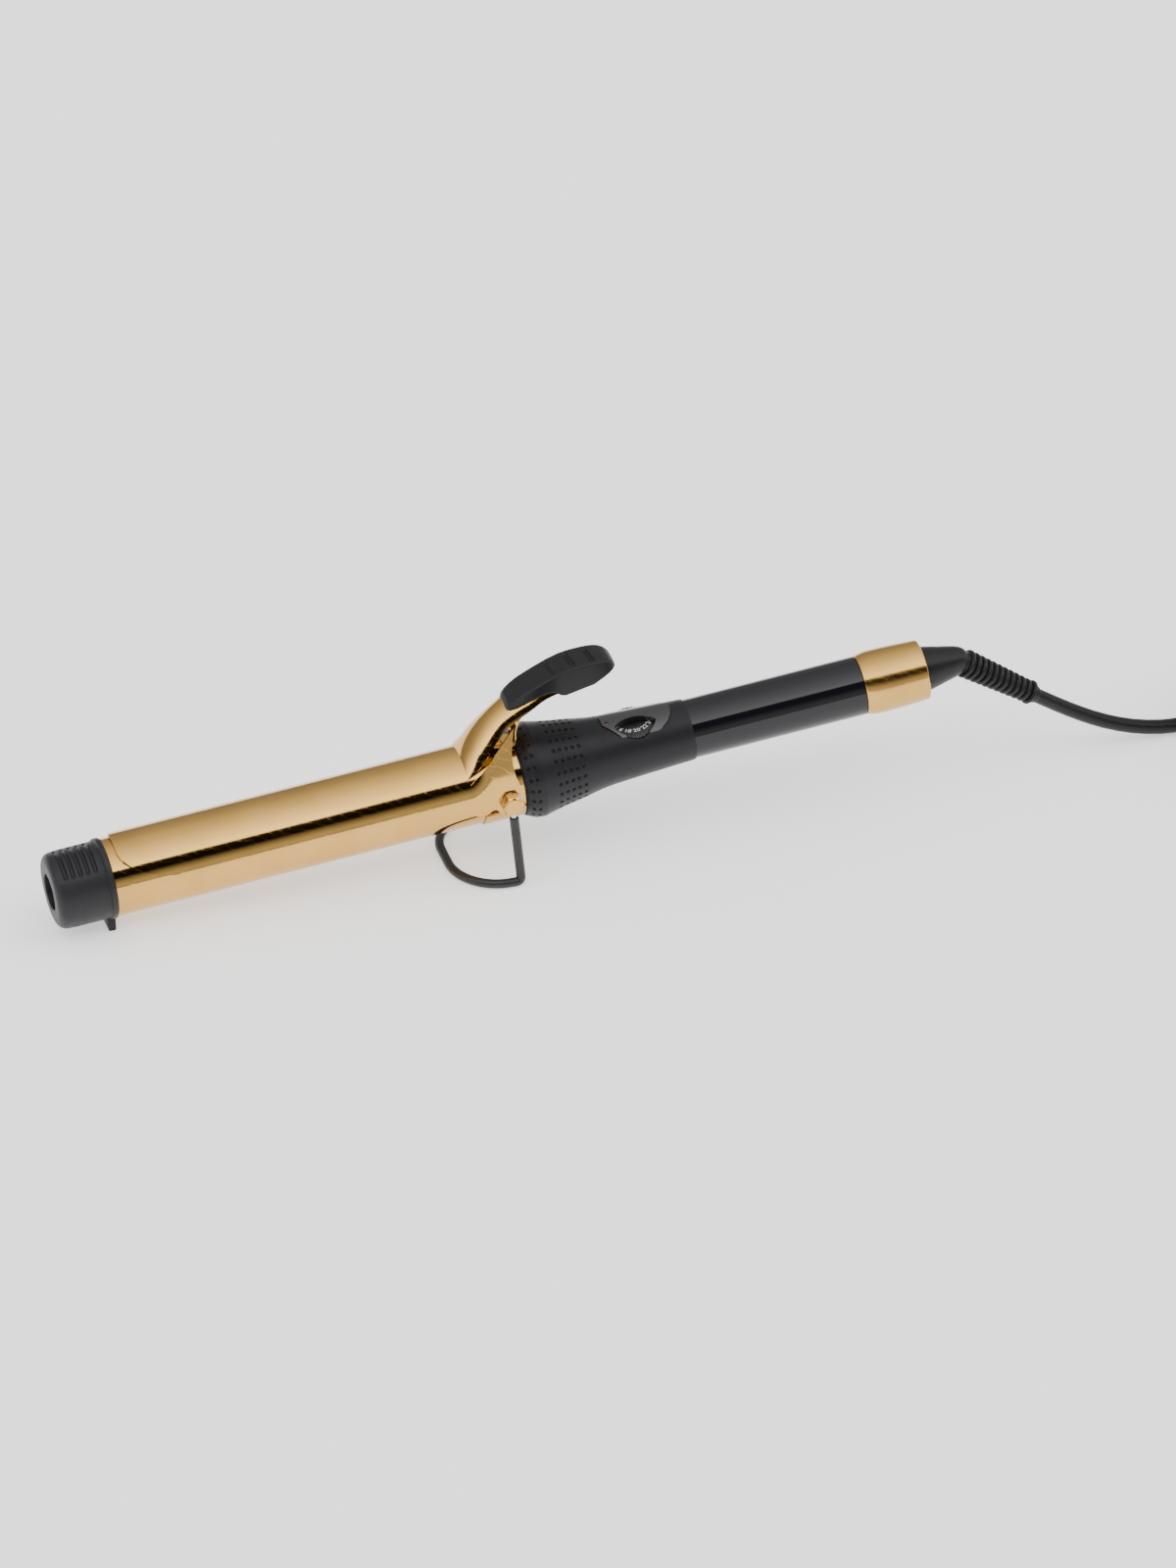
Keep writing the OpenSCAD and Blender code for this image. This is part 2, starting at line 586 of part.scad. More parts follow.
module swivel_hub() color(black) place() difference() {
    turned([[2.4, hub_s - 1.8], [hub_r, hub_s - 1.8], [hub_r, end_s + 0.3], [hub_r + 1.8, end_s + 0.3],
        [hub_r + 1.5, end_s + 3], [5.2, neck_s], [2.4, neck_s]]);
    for (s = ring_s) ring_groove(s);
}
ring_s = [hub_s, hub_s + 3];
module ring_groove(s) difference() {
    rod_x(hub_r + 1, s - seat, s + 1.5 + seat);
    rod_x(hub_r - 1 - seat, s - 1, s + 3);
}
module slip_rings() color("peru") place() for (s = ring_s) difference() {
    rod_x(hub_r - 0.1, s, s + 1.5);
    rod_x(hub_r - 1, s - 1, s + 3);
}

module strain_relief() color(black) place() difference() {
    union() {
        translate([neck_s, 0, 0]) rotate([0, 90 + relief_drop, 0])
            cylinder(r1 = 5, r2 = cord_r + 0.8, h = relief_len);
        translate([neck_s, 0, 0]) sphere(r = 5 + proud);
    }
    rod_x(barrel_d, neck_s - 10, neck_s + seat);
    translate([neck_s, 0, 0]) rotate([0, 90 + relief_drop, 0])
        translate([0, 0, relief_len - 6]) cylinder(r = cord_r + seat, h = 10);
}

// A round tube swept along points, with sides kept level
tube_sides = 10;
function along(points, i) = let (n = len(points),
    d = points[min(i + 1, n - 1)] - points[max(i - 1, 0)]) d / norm(d);
function ring(points, i, r) = let (t = along(points, i), u = [t.y, -t.x, 0] / norm([t.x, t.y]),
    v = cross(u, t)) [for (k = [0:tube_sides - 1]) let (a = 360 * (k + 0.5) / tube_sides)
        points[i] + r * (u * cos(a) + v * sin(a))];
// A smooth line through the given points, in short straight steps
function smooth(p, i, t) = let (n = len(p), a = p[max(i - 1, 0)], b = p[i], c = p[i + 1],
    d = p[min(i + 2, n - 1)])
    0.5 * ((2 * b) + (c - a) * t + (2 * a - 5 * b + 4 * c - d) * t * t
        + (3 * b - a - 3 * c + d) * t * t * t);
function line(p) = concat([for (i = [0:len(p) - 2]) each [smooth(p, i, 0), smooth(p, i, 0.5)]],
    [p[len(p) - 1]]);
module tube(points, r) {
    n = len(points);
    corners = [for (i = [0:n - 1]) each ring(points, i, r)];
    walls = [for (i = [0:n - 2]) for (k = [0:tube_sides - 1]) let (
        a = i * tube_sides + k, b = i * tube_sides + (k + 1) % tube_sides)
        [a, b, b + tube_sides, a + tube_sides]];
    polyhedron(corners, concat(walls, [[for (k = [tube_sides - 1:-1:0]) k]],
        [[for (k = [0:tube_sides - 1]) (n - 1) * tube_sides + k]]), convexity = 4);
}
module cord_run() color(black) tube(line(cord_points), cord_r);
module cord_tail() color(black) tube(line(tail_points), cord_r);
module cord_coil() color(black) translate([coil_x, coil_y, 0.1]) rotate_extrude($fn = 96)
    translate([coil_in - cord_r, 0]) square([coil_out - coil_in + cord_d, coil_h]);

plug_len = 22;
plug_tail = 16;
plug_w = 35;
module plug_body() color(black) translate(plug_at) rotate([-90, 0, 0]) difference() {
    union() {
        translate([0, 0, plug_tail]) linear_extrude(plug_len) hull_free_stadium(plug_w, 14);
        cylinder(r1 = cord_r + 0.8, r2 = 6.8, h = plug_tail + eps);
    }
    for (m = [-1, 1]) translate([m * pin_pitch / 2, 0, plug_tail + plug_len - 8])
        cylinder(r = pin_root_r + seat, h = 10);
}
module hull_free_stadium(w, h) {
    square([w - h, h], center = true);
    for (m = [-1, 1]) translate([m * (w - h) / 2, 0]) circle(r = h / 2);
}
// The pins' thin roots stand in the body and reach a little past its face
pin_root_r = pin_d / 2 - 0.5;
pin_root = 0.5;
module plug_pins() color(steel) translate(plug_at) rotate([-90, 0, 0]) for (m = [-1, 1])
    translate([m * pin_pitch / 2, 0, plug_tail + plug_len]) {
        translate([0, 0, -8]) cylinder(r = pin_root_r, h = 8.5 + pin_root);
        translate([0, 0, pin_root]) cylinder(r = pin_d / 2, h = pin_len - pin_root);
    }

cool_tip();
tip_screw();
barrel();
front_bulkhead();
heat_spreader_upper();
heat_spreader_lower();
heater_plate();
thermal_fuse();
temperature_sensor();
hinge_band();
pivot_studs();
heat_ring();
handle_core_left();
handle_core_right();
core_screws();
front_grip();
control_panel();
light_lens();
power_led();
circuit_board();
rheostat();
dial();
dial_axle();
handle_tube();
end_collar();
swivel_socket();
heater_leads();
clamp_plate();
clamp_lever();
hinge_yoke();
thumb_rest();
thumb_rivets();
clamp_spring();
stand_wire();
stand_sleeve();
stand_bosses();
pivot_washers();
swivel_hub();
slip_rings();
strain_relief();
cord_run();
cord_coil();
cord_tail();
plug_body();
plug_pins();
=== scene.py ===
import math

import bmesh
import bpy
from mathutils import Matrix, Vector


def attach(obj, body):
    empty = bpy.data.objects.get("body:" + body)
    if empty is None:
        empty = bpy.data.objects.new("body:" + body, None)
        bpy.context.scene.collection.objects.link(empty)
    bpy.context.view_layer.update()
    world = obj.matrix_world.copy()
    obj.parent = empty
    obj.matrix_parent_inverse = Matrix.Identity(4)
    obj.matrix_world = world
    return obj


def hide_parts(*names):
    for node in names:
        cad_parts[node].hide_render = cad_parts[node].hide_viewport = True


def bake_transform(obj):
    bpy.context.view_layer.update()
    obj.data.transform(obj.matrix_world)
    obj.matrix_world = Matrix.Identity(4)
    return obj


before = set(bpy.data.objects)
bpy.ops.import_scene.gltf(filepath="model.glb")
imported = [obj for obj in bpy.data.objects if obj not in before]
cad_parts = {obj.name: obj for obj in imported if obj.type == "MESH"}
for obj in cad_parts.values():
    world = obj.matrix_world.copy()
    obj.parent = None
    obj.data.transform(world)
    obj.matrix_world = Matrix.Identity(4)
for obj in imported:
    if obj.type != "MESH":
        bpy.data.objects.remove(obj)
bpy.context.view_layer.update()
print("frame loaded")

# The iron lies sloped on its foot and its stand, so its parts are laid out along the barrel
# in millimetres: s from the tip flange to the handle, y across, z on the clamp's side
resting = {"hinge": 164, "hingeHeight": 36, "footAt": -2, "footDepth": 20.5, "middle": 183.5}
footToHinge = resting["hinge"] - resting["footAt"]
slope = (math.asin(resting["hingeHeight"] / math.hypot(footToHinge, resting["footDepth"]))
         - math.atan2(resting["footDepth"], footToHinge))
cosSlope, sinSlope = math.cos(slope), math.sin(slope)
axisHeight = resting["footDepth"] * cosSlope - resting["footAt"] * sinSlope


def place(s, y, z):
    return Vector(((s * cosSlope - z * sinSlope - resting["middle"]) / 1000, y / 1000,
                   (s * sinSlope + z * cosSlope + axisHeight) / 1000))


def table(x, y, z):
    return Vector((x, y, z)) / 1000


def mixed(a, b, t):
    return a + (b - a) * t


def eased(t):
    t = min(max(t, 0), 1)
    return t * t * (3 - 2 * t)


def curveThrough(points, steps):
    # A smooth line through the given points
    points = [Vector(p) for p in points]
    line = []
    for i in range(len(points) - 1):
        a, b = points[max(i - 1, 0)], points[i]
        c, d = points[i + 1], points[min(i + 2, len(points) - 1)]
        for k in range(steps):
            t = k / steps
            line.append(0.5 * (2 * b + (c - a) * t + (2 * a - 5 * b + 4 * c - d) * t ** 2
                               + (3 * b - a - 3 * c + d) * t ** 3))
    line.append(points[-1])
    return line


def evenly(points, count):
    # The same line cut into equal steps
    points = [Vector(p) for p in points]
    lengths = [0]
    for a, b in zip(points, points[1:]):
        lengths.append(lengths[-1] + (b - a).length)
    line, k = [], 0
    for i in range(count):
        goal = lengths[-1] * i / (count - 1)
        while k < len(points) - 2 and lengths[k + 1] < goal:
            k += 1
        span = lengths[k + 1] - lengths[k]
        line.append(points[k].lerp(points[k + 1], (goal - lengths[k]) / span if span else 0))
    return line


def valueAt(pairs, x):
    # Straight-line reading of a list of (x, value)
    if x <= pairs[0][0]:
        return pairs[0][1]
    for (x0, v0), (x1, v1) in zip(pairs, pairs[1:]):
        if x <= x1:
            return mixed(v0, v1, (x - x0) / (x1 - x0))
    return pairs[-1][1]


def build(name, points, faces, material, sharp=35):
    mesh = bpy.data.meshes.new(name)
    mesh.from_pydata([tuple(p) for p in points], [], faces)
    work = bmesh.new()
    work.from_mesh(mesh)
    bmesh.ops.remove_doubles(work, verts=work.verts, dist=2e-6)
    bmesh.ops.recalc_face_normals(work, faces=work.faces)
    work.to_mesh(mesh)
    work.free()
    mesh.polygons.foreach_set("use_smooth", [True] * len(mesh.polygons))
    mesh.set_sharp_from_angle(angle=math.radians(sharp))
    piece = bpy.data.objects.new(name, mesh)
    bpy.context.scene.collection.objects.link(piece)
    mesh.materials.append(material)
    return piece


def gridFaces(rows, columns, ring=False, loop=False, first=0):
    faces = []
    for i in range(rows if loop else rows - 1):
        for k in range(columns if ring else columns - 1):
            a, b = first + i * columns, first + (i + 1) % rows * columns
            faces.append((a + k, a + (k + 1) % columns, b + (k + 1) % columns, b + k))
    return faces


def grid(name, rows, material, ring=False, loop=False, caps=False, sharp=35):
    columns = len(rows[0])
    points = [p for row in rows for p in row]
    faces = gridFaces(len(rows), columns, ring, loop)
    if caps:
        faces.append(tuple(range(columns))[::-1])
        faces.append(tuple((len(rows) - 1) * columns + k for k in range(columns)))
    return build(name, points, faces, material, sharp)


def lathe(name, outline, material, sides=160, closed=False, sharp=35, shape=None):
    # Outline as (s, radius) along the barrel's axis
    rows = []
    for s, r in outline:
        row = []
        for k in range(sides):
            a = 2 * math.pi * k / sides
            y, z = -r * math.sin(a), r * math.cos(a)
            row.append(place(*(shape(s, y, z) if shape else (s, y, z))))
        rows.append(row)
    return grid(name, rows, material, ring=True, loop=closed, sharp=sharp)


def rounded(outline, radii, steps=5, closed=False):
    # Corners of a 2-D outline turned into arcs
    points = [Vector(p) for p in outline]
    line = []
    for i, p in enumerate(points):
        radius = radii if isinstance(radii, (int, float)) else radii[i]
        before, after = points[i - 1], points[(i + 1) % len(points)]
        if radius <= 0 or (not closed and i in (0, len(points) - 1)):
            line.append(p)
            continue
        a, b = before - p, after - p
        angle = a.angle(b)
        cut = min(radius / math.tan(angle / 2), a.length * 0.45, b.length * 0.45)
        p0, p1 = p + a.normalized() * cut, p + b.normalized() * cut
        for k in range(steps + 1):
            t = k / steps
            line.append((1 - t) ** 2 * p0 + 2 * t * (1 - t) * p + t ** 2 * p1)
    return [tuple(p) for p in line]


def sweep(name, line, radius, material, sides=24, caps=True, sharp=50):
    # A round rod along a line in metres; the radius may be one number or one for each point
    rows, across = [], None
    for i, p in enumerate(line):
        way = (line[min(i + 1, len(line) - 1)] - line[max(i - 1, 0)]).normalized()
        if across is None:
            across = way.orthogonal().normalized()
        across = (across - way * across.dot(way)).normalized()
        other = way.cross(across)
        r = (radius if isinstance(radius, (int, float)) else radius[i]) / 1000
        rows.append([p + r * (across * math.cos(2 * math.pi * k / sides)
                              + other * math.sin(2 * math.pi * k / sides)) for k in range(sides)])
    return grid(name, rows, material, ring=True, caps=caps, sharp=sharp)


def extrude(name, outline, low, high, material, sharp=35):
    # An outline seen from the clamp's side as (s, y), given height
    count = len(outline)
    points = [place(s, y, low) for s, y in outline] + [place(s, y, high) for s, y in outline]
    faces = gridFaces(2, count, ring=True)
    faces += [tuple(range(count))[::-1], tuple(range(count, 2 * count))]
    return build(name, points, faces, material, sharp)


def disc(centre, radius, sides=96):
    return [(centre[0] + radius * math.cos(2 * math.pi * k / sides),
             centre[1] + radius * math.sin(2 * math.pi * k / sides)) for k in range(sides)]


def settle(piece):
    # Modifiers become plain mesh
    graph = bpy.context.evaluated_depsgraph_get()
    mesh = bpy.data.meshes.new_from_object(piece.evaluated_get(graph), depsgraph=graph)
    old = piece.data
    piece.modifiers.clear()
    piece.data = mesh
    if isinstance(old, bpy.types.Mesh):
        bpy.data.meshes.remove(old)
    return piece


def cut(piece, *tools, keep=False):
    for tool in tools:
        change = piece.modifiers.new("cut", "BOOLEAN")
        change.object, change.solver = tool, "EXACT"
        change.operation = "INTERSECT" if keep else "DIFFERENCE"
    settle(piece)
    for tool in tools:
        bpy.data.objects.remove(tool)
    piece.data.polygons.foreach_set("use_smooth", [True] * len(piece.data.polygons))
    piece.data.set_sharp_from_angle(angle=math.radians(30))
    return piece


def thicken(piece, thickness, offset=-1):
    change = piece.modifiers.new("thickness", "SOLIDIFY")
    change.thickness, change.offset = thickness / 1000, offset
    return piece


def soften(piece, width, segments=2, angle=40):
    change = piece.modifiers.new("edges", "BEVEL")
    change.width, change.segments = width / 1000, segments
    change.limit_method, change.angle_limit = "ANGLE", math.radians(angle)
    change.harden_normals = True
    return piece


def join(name, *pieces):
    # Several meshes become one piece
    first = pieces[0]
    work = bmesh.new()
    for piece in pieces:
        work.from_mesh(piece.data)
    work.to_mesh(first.data)
    work.free()
    for piece in pieces[1:]:
        bpy.data.objects.remove(piece)
    first.name = name
    return first


def show(piece, body, slot, *nodes):
    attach(piece, body)
    if nodes:
        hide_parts(*nodes)
    return piece


# Materials


class Link:
    # One value travelling between nodes, with arithmetic
    def __init__(self, graph, socket):
        self.graph, self.socket = graph, socket

    def maths(self, operation, *others):
        values = {i: v for i, v in enumerate((self,) + others)}
        return self.graph.node("ShaderNodeMath", {"operation": operation}, values)

    def __add__(self, other):
        return self.maths("ADD", other)

    def __radd__(self, other):
        return self.maths("ADD", other)

    def __sub__(self, other):
        return self.maths("SUBTRACT", other)

    def __rsub__(self, other):
        return self.graph.node("ShaderNodeMath", {"operation": "SUBTRACT"}, {0: other, 1: self})

    def __mul__(self, other):
        return self.maths("MULTIPLY", other)

    def __rmul__(self, other):
        return self.maths("MULTIPLY", other)

    def __truediv__(self, other):
        return self.maths("DIVIDE", other)

    def __rtruediv__(self, other):
        return self.graph.node("ShaderNodeMath", {"operation": "DIVIDE"}, {0: other, 1: self})

    def between(self, low, high):
        # 0 below low, 1 above high
        return self.graph.node("ShaderNodeMapRange", {"interpolation_type": "SMOOTHSTEP"},
                               {0: self, 1: low, 2: high, 3: 0.0, 4: 1.0})


class Graph:
    def __init__(self, tree):
        self.tree = tree
        tree.nodes.clear()

    def node(self, kind, settings=None, values=None, out=0):
        made = self.tree.nodes.new(kind)
        for key, value in (settings or {}).items():
            if key == "stops":
                ramp = made.color_ramp
                while len(ramp.elements) < len(value):
                    ramp.elements.new(1)
                for element, (at, colour) in zip(ramp.elements, value):
                    element.position, element.color = at, colour
            else:
                setattr(made, key, value)
        for key, value in (values or {}).items():
            if isinstance(value, Link):
                self.tree.links.new(value.socket, made.inputs[key])
            else:
                made.inputs[key].default_value = value
        return Link(self, made.outputs[out]) if made.outputs else None

    def noise(self, where, scale, detail=3, rough=0.5):
        return self.node("ShaderNodeTexNoise", {}, {"Vector": where, "Scale": scale,
                                                    "Detail": detail, "Roughness": rough})

    def blendColours(self, amount, first, second):
        return self.node("ShaderNodeMix", {"data_type": "RGBA"}, {0: amount, 6: first, 7: second},
                         out=2)

    def along(self, stretch=(1, 1, 1)):
        # Object coordinates in millimetres, level with the barrel
        here = self.node("ShaderNodeTexCoord", out="Object")
        return self.node("ShaderNodeMapping", {"vector_type": "POINT"},
                         {"Vector": here, "Rotation": (0, slope, 0),
                          "Scale": tuple(1000 * k for k in stretch)})


def finish(name, colour, roughness, detail):
    # A material whose varying values come from detail(graph, coordinates)
    material = bpy.data.materials.new(name)
    material.use_nodes = True
    graph = Graph(material.node_tree)
    shader = graph.node("ShaderNodeBsdfPrincipled", {}, detail(graph, colour, roughness))
    graph.node("ShaderNodeOutputMaterial", {}, {"Surface": shader})
    return material


def tinted(colour, k):
    return tuple(min(1, c * k) for c in colour[:3]) + (1,)


def moulded(grain, depth, variation=0.18, coat=0.0, metallic=0.0, smudge=0.12, specular=0.5):
    # Moulded or machined surface: fine grain, faint mottling, handling marks in the gloss
    def detail(graph, colour, roughness):
        here = graph.along()
        fine = graph.noise(here, grain, 4, 0.6)
        broad = graph.noise(here, 0.05, 3)
        marks = graph.noise(here, 0.22, 5, 0.65).between(0.45, 0.75)
        return {"Base Color": graph.blendColours(broad * 0.6 + fine * 0.4,
                                                 tinted(colour, 1 - variation),
                                                 tinted(colour, 1 + variation)),
                "Roughness": roughness + (marks - 0.5) * smudge + (fine - 0.5) * 0.08,
                "Metallic": metallic, "Coat Weight": coat, "Coat Roughness": 0.04,
                "Specular IOR Level": specular,
                "Normal": graph.node("ShaderNodeBump", {}, {"Strength": depth, "Distance": 0.00015,
                                                            "Height": fine})}
    return detail


def plated(graph, colour, roughness):
    # Polished plating: long soft drawing lines round the tube, faint haze, sparse hairlines
    here = graph.along()
    drawn = graph.noise(graph.along((0.9, 0.05, 0.05)), 1.0, 4, 0.7)
    haze = graph.noise(here, 0.045, 4, 0.6)
    wipe = graph.noise(here, 0.3, 6, 0.7).between(0.5, 0.78)
    scratch = graph.node("ShaderNodeTexWave", {"wave_type": "BANDS", "bands_direction": "DIAGONAL"},
                         {"Vector": graph.along((0.31, 0.6, 0.2)), "Scale": 0.35, "Distortion": 9.0,
                          "Detail": 4.0}, out="Fac").between(0.965, 0.999)
    return {"Base Color": graph.blendColours(haze.between(0.3, 0.7), tinted(colour, 0.93),
                                             tinted(colour, 1.05)),
            "Roughness": roughness + haze * 0.05 + wipe * 0.06 + scratch * 0.08,
            "Metallic": 1.0,
            "Normal": graph.node("ShaderNodeBump", {}, {
                "Strength": 0.06, "Distance": 0.00008, "Height": drawn + scratch * 0.4})}


def wound(graph, colour, roughness):
    # Extruded jacket: faint fine bumps and dust
    here = graph.along()
    dust = graph.noise(here, 0.5, 5, 0.7).between(0.55, 0.8)
    fine = graph.noise(here, 2.2, 3)
    return {"Base Color": graph.blendColours(dust * 0.5, colour, tinted(colour, 1.9)),
            "Roughness": roughness + dust * 0.15 + (fine - 0.5) * 0.1,
            "Specular IOR Level": 0.3,
            "Normal": graph.node("ShaderNodeBump", {}, {"Strength": 0.15, "Distance": 0.0001,
                                                        "Height": fine})}


paint = {
    "gold": (0.68, 0.40, 0.11, 1), "tip": (0.016, 0.0158, 0.0185, 1),
    "rubber": (0.012, 0.0122, 0.0145, 1), "gloss": (0.006, 0.0055, 0.0085, 1),
    "panel": (0.011, 0.0108, 0.013, 1), "matte": (0.009, 0.009, 0.0105, 1),
    "steel": (0.62, 0.61, 0.6, 1), "cord": (0.007, 0.007, 0.008, 1),
}
goldPlate = finish("goldPlate", paint["gold"], 0.055, plated)
goldCollar = finish("goldCollar", paint["gold"], 0.15, plated)
tipPlastic = finish("tipPlastic", paint["tip"], 0.5, moulded(3.2, 0.35, specular=0.3))
gripRubber = finish("gripRubber", paint["rubber"], 0.46, moulded(2.6, 0.25, 0.12, specular=0.25))
blackGloss = finish("blackGloss", paint["gloss"], 0.08, moulded(0.6, 0.02, 0.1, 0, 0, 0.05, 0.45))
panelGloss = finish("panelGloss", paint["panel"], 0.16, moulded(0.8, 0.03, 0.1, 0.6, 0, 0.05))
blackMatte = finish("blackMatte", paint["matte"], 0.42, moulded(2.8, 0.2, 0.15, specular=0.3))
dialBlack = finish("dialBlack", (0.008, 0.008, 0.009, 1), 0.4, moulded(3.0, 0.15))
sleeveBlack = finish("sleeveBlack", (0.012, 0.012, 0.013, 1), 0.45, moulded(2.0, 0.2))
cordBlack = finish("cordBlack", paint["cord"], 0.42, wound)
steelBright = finish("steelBright", paint["steel"], 0.24, moulded(1.5, 0.12, 0.06, 0, 1.0))
castAlloy = finish("castAlloy", (0.6, 0.6, 0.61, 1), 0.5, moulded(1.2, 0.5, 0.1, 0, 1.0))
ceramicWhite = finish("ceramicWhite", (0.78, 0.75, 0.7, 1), 0.6, moulded(1.4, 0.3, 0.06))
copperRing = finish("copperRing", (0.72, 0.32, 0.16, 1), 0.3, moulded(1.5, 0.1, 0.1, 0, 1.0))
boardGreen = finish("boardGreen", (0.02, 0.13, 0.05, 1), 0.35, moulded(0.9, 0.15, 0.25, 0.4))
partBlue = finish("partBlue", (0.05, 0.13, 0.32, 1), 0.4, moulded(1.8, 0.2))
lensRed = finish("lensRed", (0.11, 0.012, 0.01, 1), 0.15, moulded(1.2, 0.05, 0.1, 0.8))
ledClear = finish("ledClear", (0.75, 0.72, 0.66, 1), 0.12, moulded(1.2, 0.05, 0.04, 0.8))
leadSleeve = finish("leadSleeve", (0.72, 0.71, 0.66, 1), 0.8, moulded(0.8, 0.8, 0.1))
printWhite = finish("printWhite", (0.85, 0.85, 0.84, 1), 0.5, moulded(3.5, 0.1, 0.05))
print("materials made")

# The nodes carried over from the frame take their finishes here
carriedFinishes = [
    (tipPlastic, "cool_tip"),
    (steelBright, "tip_screw front_bulkhead pivot_studs core_screws dial_axle thumb_rivets "
     "stand_wire pivot_washers plug_pins"),
    (goldPlate, "barrel hinge_band end_collar clamp_plate clamp_lever hinge_yoke clamp_spring "
     "stand_bosses"),
    (castAlloy, "heat_spreader_upper heat_spreader_lower"),
    (ceramicWhite, "heater_plate thermal_fuse"),
    (partBlue, "temperature_sensor rheostat"),
    (blackMatte, "heat_ring handle_core_left handle_core_right swivel_socket thumb_rest "
     "swivel_hub plug_body"),
    (gripRubber, "front_grip"),
    (panelGloss, "control_panel"),
    (lensRed, "light_lens"),
    (ledClear, "power_led"),
    (boardGreen, "circuit_board"),
    (dialBlack, "dial"),
    (blackGloss, "handle_tube"),
    (leadSleeve, "heater_leads"),
    (sleeveBlack, "stand_sleeve"),
    (copperRing, "slip_rings"),
    (cordBlack, "strain_relief cord_run cord_coil cord_tail")]
for material, names in carriedFinishes:
    for name in names.split():
        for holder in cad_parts[name].material_slots:
            holder.material = material

# Barrel and tip

barrelSizes = {"radius": 16, "wall": 1, "end": 178, "edge": 0.1}
tube, edge, end = barrelSizes["radius"], barrelSizes["edge"], barrelSizes["end"]
bore = tube - barrelSizes["wall"]
barrel = lathe("barrelTube", [(edge, bore), (edge, tube - 0.15), (0.25, tube), (60, tube),
                              (120, tube), (end - edge, tube), (end, tube - edge), (end, bore)],
               goldPlate, 192, True)
show(barrel, "iron", "gold_plate", "barrel")

tipSizes = {"padDepth": 0.35, "padAngle": 46, "padFrom": -22.5, "padTo": -3.2, "grooves": 5,
            "pitch": 3.1, "firstGroove": -6.2, "grooveHalf": 0.9, "grooveDepth": 0.95,
            "lugHalf": 5, "lugHeight": 0.8, "corner": 4, "nose": -24, "footHalf": 8}


def tipShape(s, y, z):
    # Sunken thumb pad with cross grooves along the top, and a lug on the flange
    radius, turn = math.hypot(y, z), math.degrees(abs(math.atan2(y, z)))
    start, stop, lug = tipSizes["padFrom"], tipSizes["padTo"], tipSizes["lugHalf"]
    if start < s < stop and radius > 11 and turn < tipSizes["padAngle"]:
        sunk = tipSizes["padDepth"] * eased((tipSizes["padAngle"] - turn) / 4)
        for i in range(tipSizes["grooves"]):
            away = abs(s - (tipSizes["firstGroove"] - tipSizes["pitch"] * i))
            if away < tipSizes["grooveHalf"]:
                deep = tipSizes["grooveDepth"] * (1 - (away / tipSizes["grooveHalf"]) ** 2) ** 0.5
                sunk += deep * eased((tipSizes["padAngle"] - 3 - turn) / 5)
        sunk *= eased((s - start) / 2) * eased((stop - s) / 0.5)
        y, z = y * (1 - sunk / radius), z * (1 - sunk / radius)
    if -2.9 < s < -0.05 and z > 0 and abs(y) < lug:
        z += tipSizes["lugHeight"] * eased((lug - abs(y)) / 1.2) * eased((s + 2.9) / 0.5)
    return s, y, z


nose, corner = tipSizes["nose"], tipSizes["corner"]
outline = [(-15.6, 0), (-15.6, 4.2), (-20, 4.2), (-20, 7.3)]
outline += [(-23.6, 7.5), (nose, 7.9), (nose, 11.8)]
outline += [(nose + corner * (1 - math.cos(a)), 11.8 + corner * math.sin(a))
            for a in [math.pi / 2 * k / 12 for k in range(1, 13)]]
outline += [(-19.8 + 0.2 * k, 15.8 + 0.2 * min(1, k / 16)) for k in range(1, 86)]
outline += [(-2.55, 16), (-2.5, 16.1), (-2.2, 16.55), (-2.0, 16.6), (-0.35, 16.6), (-0.1, 16.45),
            (0, 16.2), (0.02, 16.0), (0.02, 14.95), (8, 14.95), (8, 0)]
coolTip = lathe("coolTip", outline, tipPlastic, 240, shape=tipShape)
footPoints = rounded([(-3.9, -14), (-3.55, -20.35), (-0.45, -20.65), (-0.1, -14)],
                     [0, 0.7, 0.7, 0], 4, True)
half = tipSizes["footHalf"]
footRows = [[place(s, y, z) for s, z in footPoints] for y in (-half, 0.3 - half, half - 0.3, half)]
for end in (0, 3):
    centre = sum(footRows[end], Vector()) / len(footRows[end])
    footRows[end] = [centre.lerp(p, 0.88) for p in footRows[end]]
foot = grid("foot", footRows, tipPlastic, ring=True, caps=True)
show(join("coolTip", coolTip, foot), "iron", "tip_plastic", "cool_tip")
print("barrel and tip made")

# Clamp: one bent sheet, from the plate over the barrel to the lever and the hinge cheeks

clampSizes = {"radius": 17.3, "sheet": 1.0, "front": 3.7, "corner": 34, "angle": 77,
              "cheekStart": 140, "crease": 148.5, "leverAngle": 47, "throatAngle": 58,
              "throatRadius": 11.2}
outer, crease, cheekStart = clampSizes["radius"], clampSizes["crease"], clampSizes["cheekStart"]


def cornerStart(a):
    k = max(0, abs(a) - 20) / (clampSizes["angle"] - 20)
    return clampSizes["front"] + clampSizes["corner"] * (1 - math.sqrt(max(0, 1 - k * k)))


def onPlate(s, a):
    return place(s, -outer * math.sin(math.radians(a)), outer * math.cos(math.radians(a)))


angles = list(range(-clampSizes["angle"], clampSizes["angle"] + 1, 2))
plateRows = [[onPlate(mixed(cornerStart(a), cheekStart, i / 40), a) for a in angles]
             for i in range(41)]
rearSteps = [cheekStart + (crease - cheekStart) / 12 * i for i in range(13)]
plateRows += [[onPlate(s, a) for a in angles] for s in rearSteps[1:]]
points = [p for row in plateRows for p in row]
faces = gridFaces(len(plateRows), len(angles))

# Crown of the lever: an arc through three points of the side view
crownPoints = [Vector((crease, outer)), Vector((167.5, 35.6)), Vector((202, 45.5))]


